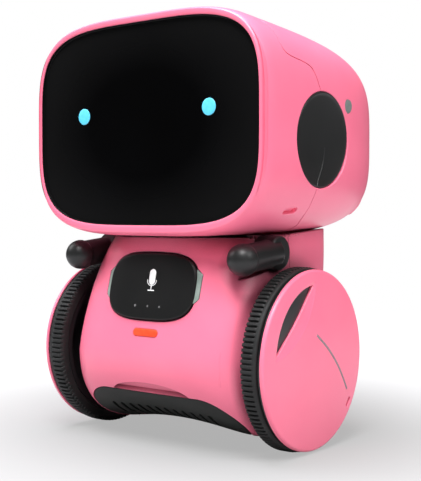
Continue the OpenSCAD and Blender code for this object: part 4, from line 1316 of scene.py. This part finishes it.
def stage():
    """A round near-white floor with a painted shadow: its colour is darker under the robot than at its edge, and the
    camera sees a painted glow that is weaker under the robot.
    """
    rings = [[(r * math.cos(t), r * math.sin(t), 0.0) for t in np.linspace(0, 2 * math.pi, 96, endpoint=False)]
             for r in (0.02, 0.1, 0.2, 0.3, FLOOR_R)]
    bm = Skin(rings, start="cap").bm
    mesh = bpy.data.meshes.new("floor")
    bm.to_mesh(mesh)
    bm.free()
    floor = bpy.data.objects.new("floor", mesh)
    bpy.context.scene.collection.objects.link(floor)
    paper = material("floor_paper", (0.34, 0.34, 0.34), (0.35, 0.35, 0.35), 0.9, bump=0.0, spots=6.0,
                     Specular_IOR_Level=0.0)
    nodes, links = paper.node_tree.nodes, paper.node_tree.links
    spread = nodes.new("ShaderNodeMapping")
    spread.inputs["Scale"].default_value = (1 / FLOOR_R, 1 / FLOOR_R, 0.0)
    reach = nodes.new("ShaderNodeTexGradient")
    reach.gradient_type = "SPHERICAL"
    links.new(nodes["Texture Coordinate"].outputs["Object"], spread.inputs["Vector"])
    links.new(spread.outputs["Vector"], reach.inputs["Vector"])
    # Painted shadow: the floor's colour is the ramp's darker grey under the robot and 0.6 towards its edge.
    mix = nodes.new("ShaderNodeMix")
    mix.data_type = "RGBA"
    mix.inputs["A"].default_value = (0.6, 0.6, 0.6, 1.0)
    floor_shadow = nodes.new("ShaderNodeMapRange")
    floor_shadow.inputs["From Min"].default_value, floor_shadow.inputs["From Max"].default_value = 0.62, 0.9
    links.new(reach.outputs["Fac"], floor_shadow.inputs["Value"])
    links.new(floor_shadow.outputs["Result"], mix.inputs["Factor"])
    links.new(nodes["Color Ramp"].outputs["Color"], mix.inputs["B"])
    bsdf = nodes["Principled BSDF"]
    links.new(mix.outputs["Result"], bsdf.inputs["Base Color"])
    # Painted light: for camera rays the floor glows, and the glow is weaker under the robot as a painted shadow.
    glow, both, eye = nodes.new("ShaderNodeEmission"), nodes.new("ShaderNodeMixShader"), nodes.new("ShaderNodeLightPath")
    level = nodes.new("ShaderNodeMapRange")
    level.inputs["To Min"].default_value, level.inputs["To Max"].default_value = 1.15, 0.62
    links.new(floor_shadow.outputs["Result"], level.inputs["Value"])
    links.new(level.outputs["Result"], glow.inputs["Strength"])
    share = nodes.new("ShaderNodeMath")
    share.operation = "MULTIPLY"
    share.inputs[1].default_value = FLOOR_LIT
    links.new(eye.outputs["Is Camera Ray"], share.inputs[0])
    links.new(share.outputs[0], both.inputs[0])
    links.new(bsdf.outputs[0], both.inputs[1])
    links.new(glow.outputs[0], both.inputs[2])
    links.new(both.outputs[0], nodes["Material Output"].inputs["Surface"])
    mesh.materials.append(paper)


# FLOOR_LIT is the share of the floor's painted glow in what the camera sees.
FLOOR_R, FLOOR_LIT = 0.42, 0.7
stage()


def area_light(name, place, target, size, power, colour=(1.0, 1.0, 1.0)):
    data = bpy.data.lights.new(name, "AREA")
    data.shape, data.size, data.energy, data.color = "DISK", size, power, colour
    obj = bpy.data.objects.new(name, data)
    obj.location = place
    obj.rotation_euler = (Vector(target) - Vector(place)).to_track_quat("-Z", "Y").to_euler()
    bpy.context.scene.collection.objects.link(obj)


MIDDLE = (0.0, 0.0, 0.065)
area_light("key", (0.3, -0.5, 0.98), MIDDLE, 0.5, 14.5)
area_light("left", (-0.8, -0.3, 0.65), MIDDLE, 0.55, 3.6)
area_light("right", (0.85, 0.0, 0.7), MIDDLE, 0.55, 4.4)
area_light("top", (-0.1, -0.08, 0.76), MIDDLE, 0.45, 8.0, (0.93, 0.92, 1.0))

world = bpy.data.worlds.new("studio")
world.use_nodes = True
sky = world.node_tree
sky.nodes["Background"].inputs["Color"].default_value = (1.0, 1.0, 1.0, 1.0)
sky.nodes["Background"].inputs["Strength"].default_value = 0.1
backdrop = sky.nodes.new("ShaderNodeBackground")
backdrop.inputs["Color"].default_value = (1.0, 1.0, 1.0, 1.0)
backdrop.inputs["Strength"].default_value = 1.0
seen, pick = sky.nodes.new("ShaderNodeLightPath"), sky.nodes.new("ShaderNodeMixShader")
sky.links.new(seen.outputs["Is Camera Ray"], pick.inputs[0])
sky.links.new(sky.nodes["Background"].outputs[0], pick.inputs[1])
sky.links.new(backdrop.outputs[0], pick.inputs[2])
sky.links.new(pick.outputs[0], sky.nodes["World Output"].inputs["Surface"])
bpy.context.scene.world = world
bpy.context.scene.view_settings.view_transform = "Standard"

CAMERA_AZIMUTH, CAMERA_TILT = math.radians(38.06), math.radians(-1.46)
camera_data = bpy.data.cameras.new("camera")
camera_data.lens, camera_data.sensor_width = 75.9, 36.0
camera = bpy.data.objects.new("camera", camera_data)
camera.location = (0.2020, -0.2526 + AXLE_Y * 0.001, 0.0701)
look = Vector((-math.sin(CAMERA_AZIMUTH) * math.cos(CAMERA_TILT), math.cos(CAMERA_AZIMUTH) * math.cos(CAMERA_TILT),
               math.sin(CAMERA_TILT)))
camera.rotation_euler = look.to_track_quat("-Z", "Y").to_euler()
bpy.context.scene.collection.objects.link(camera)
bpy.context.scene.camera = camera
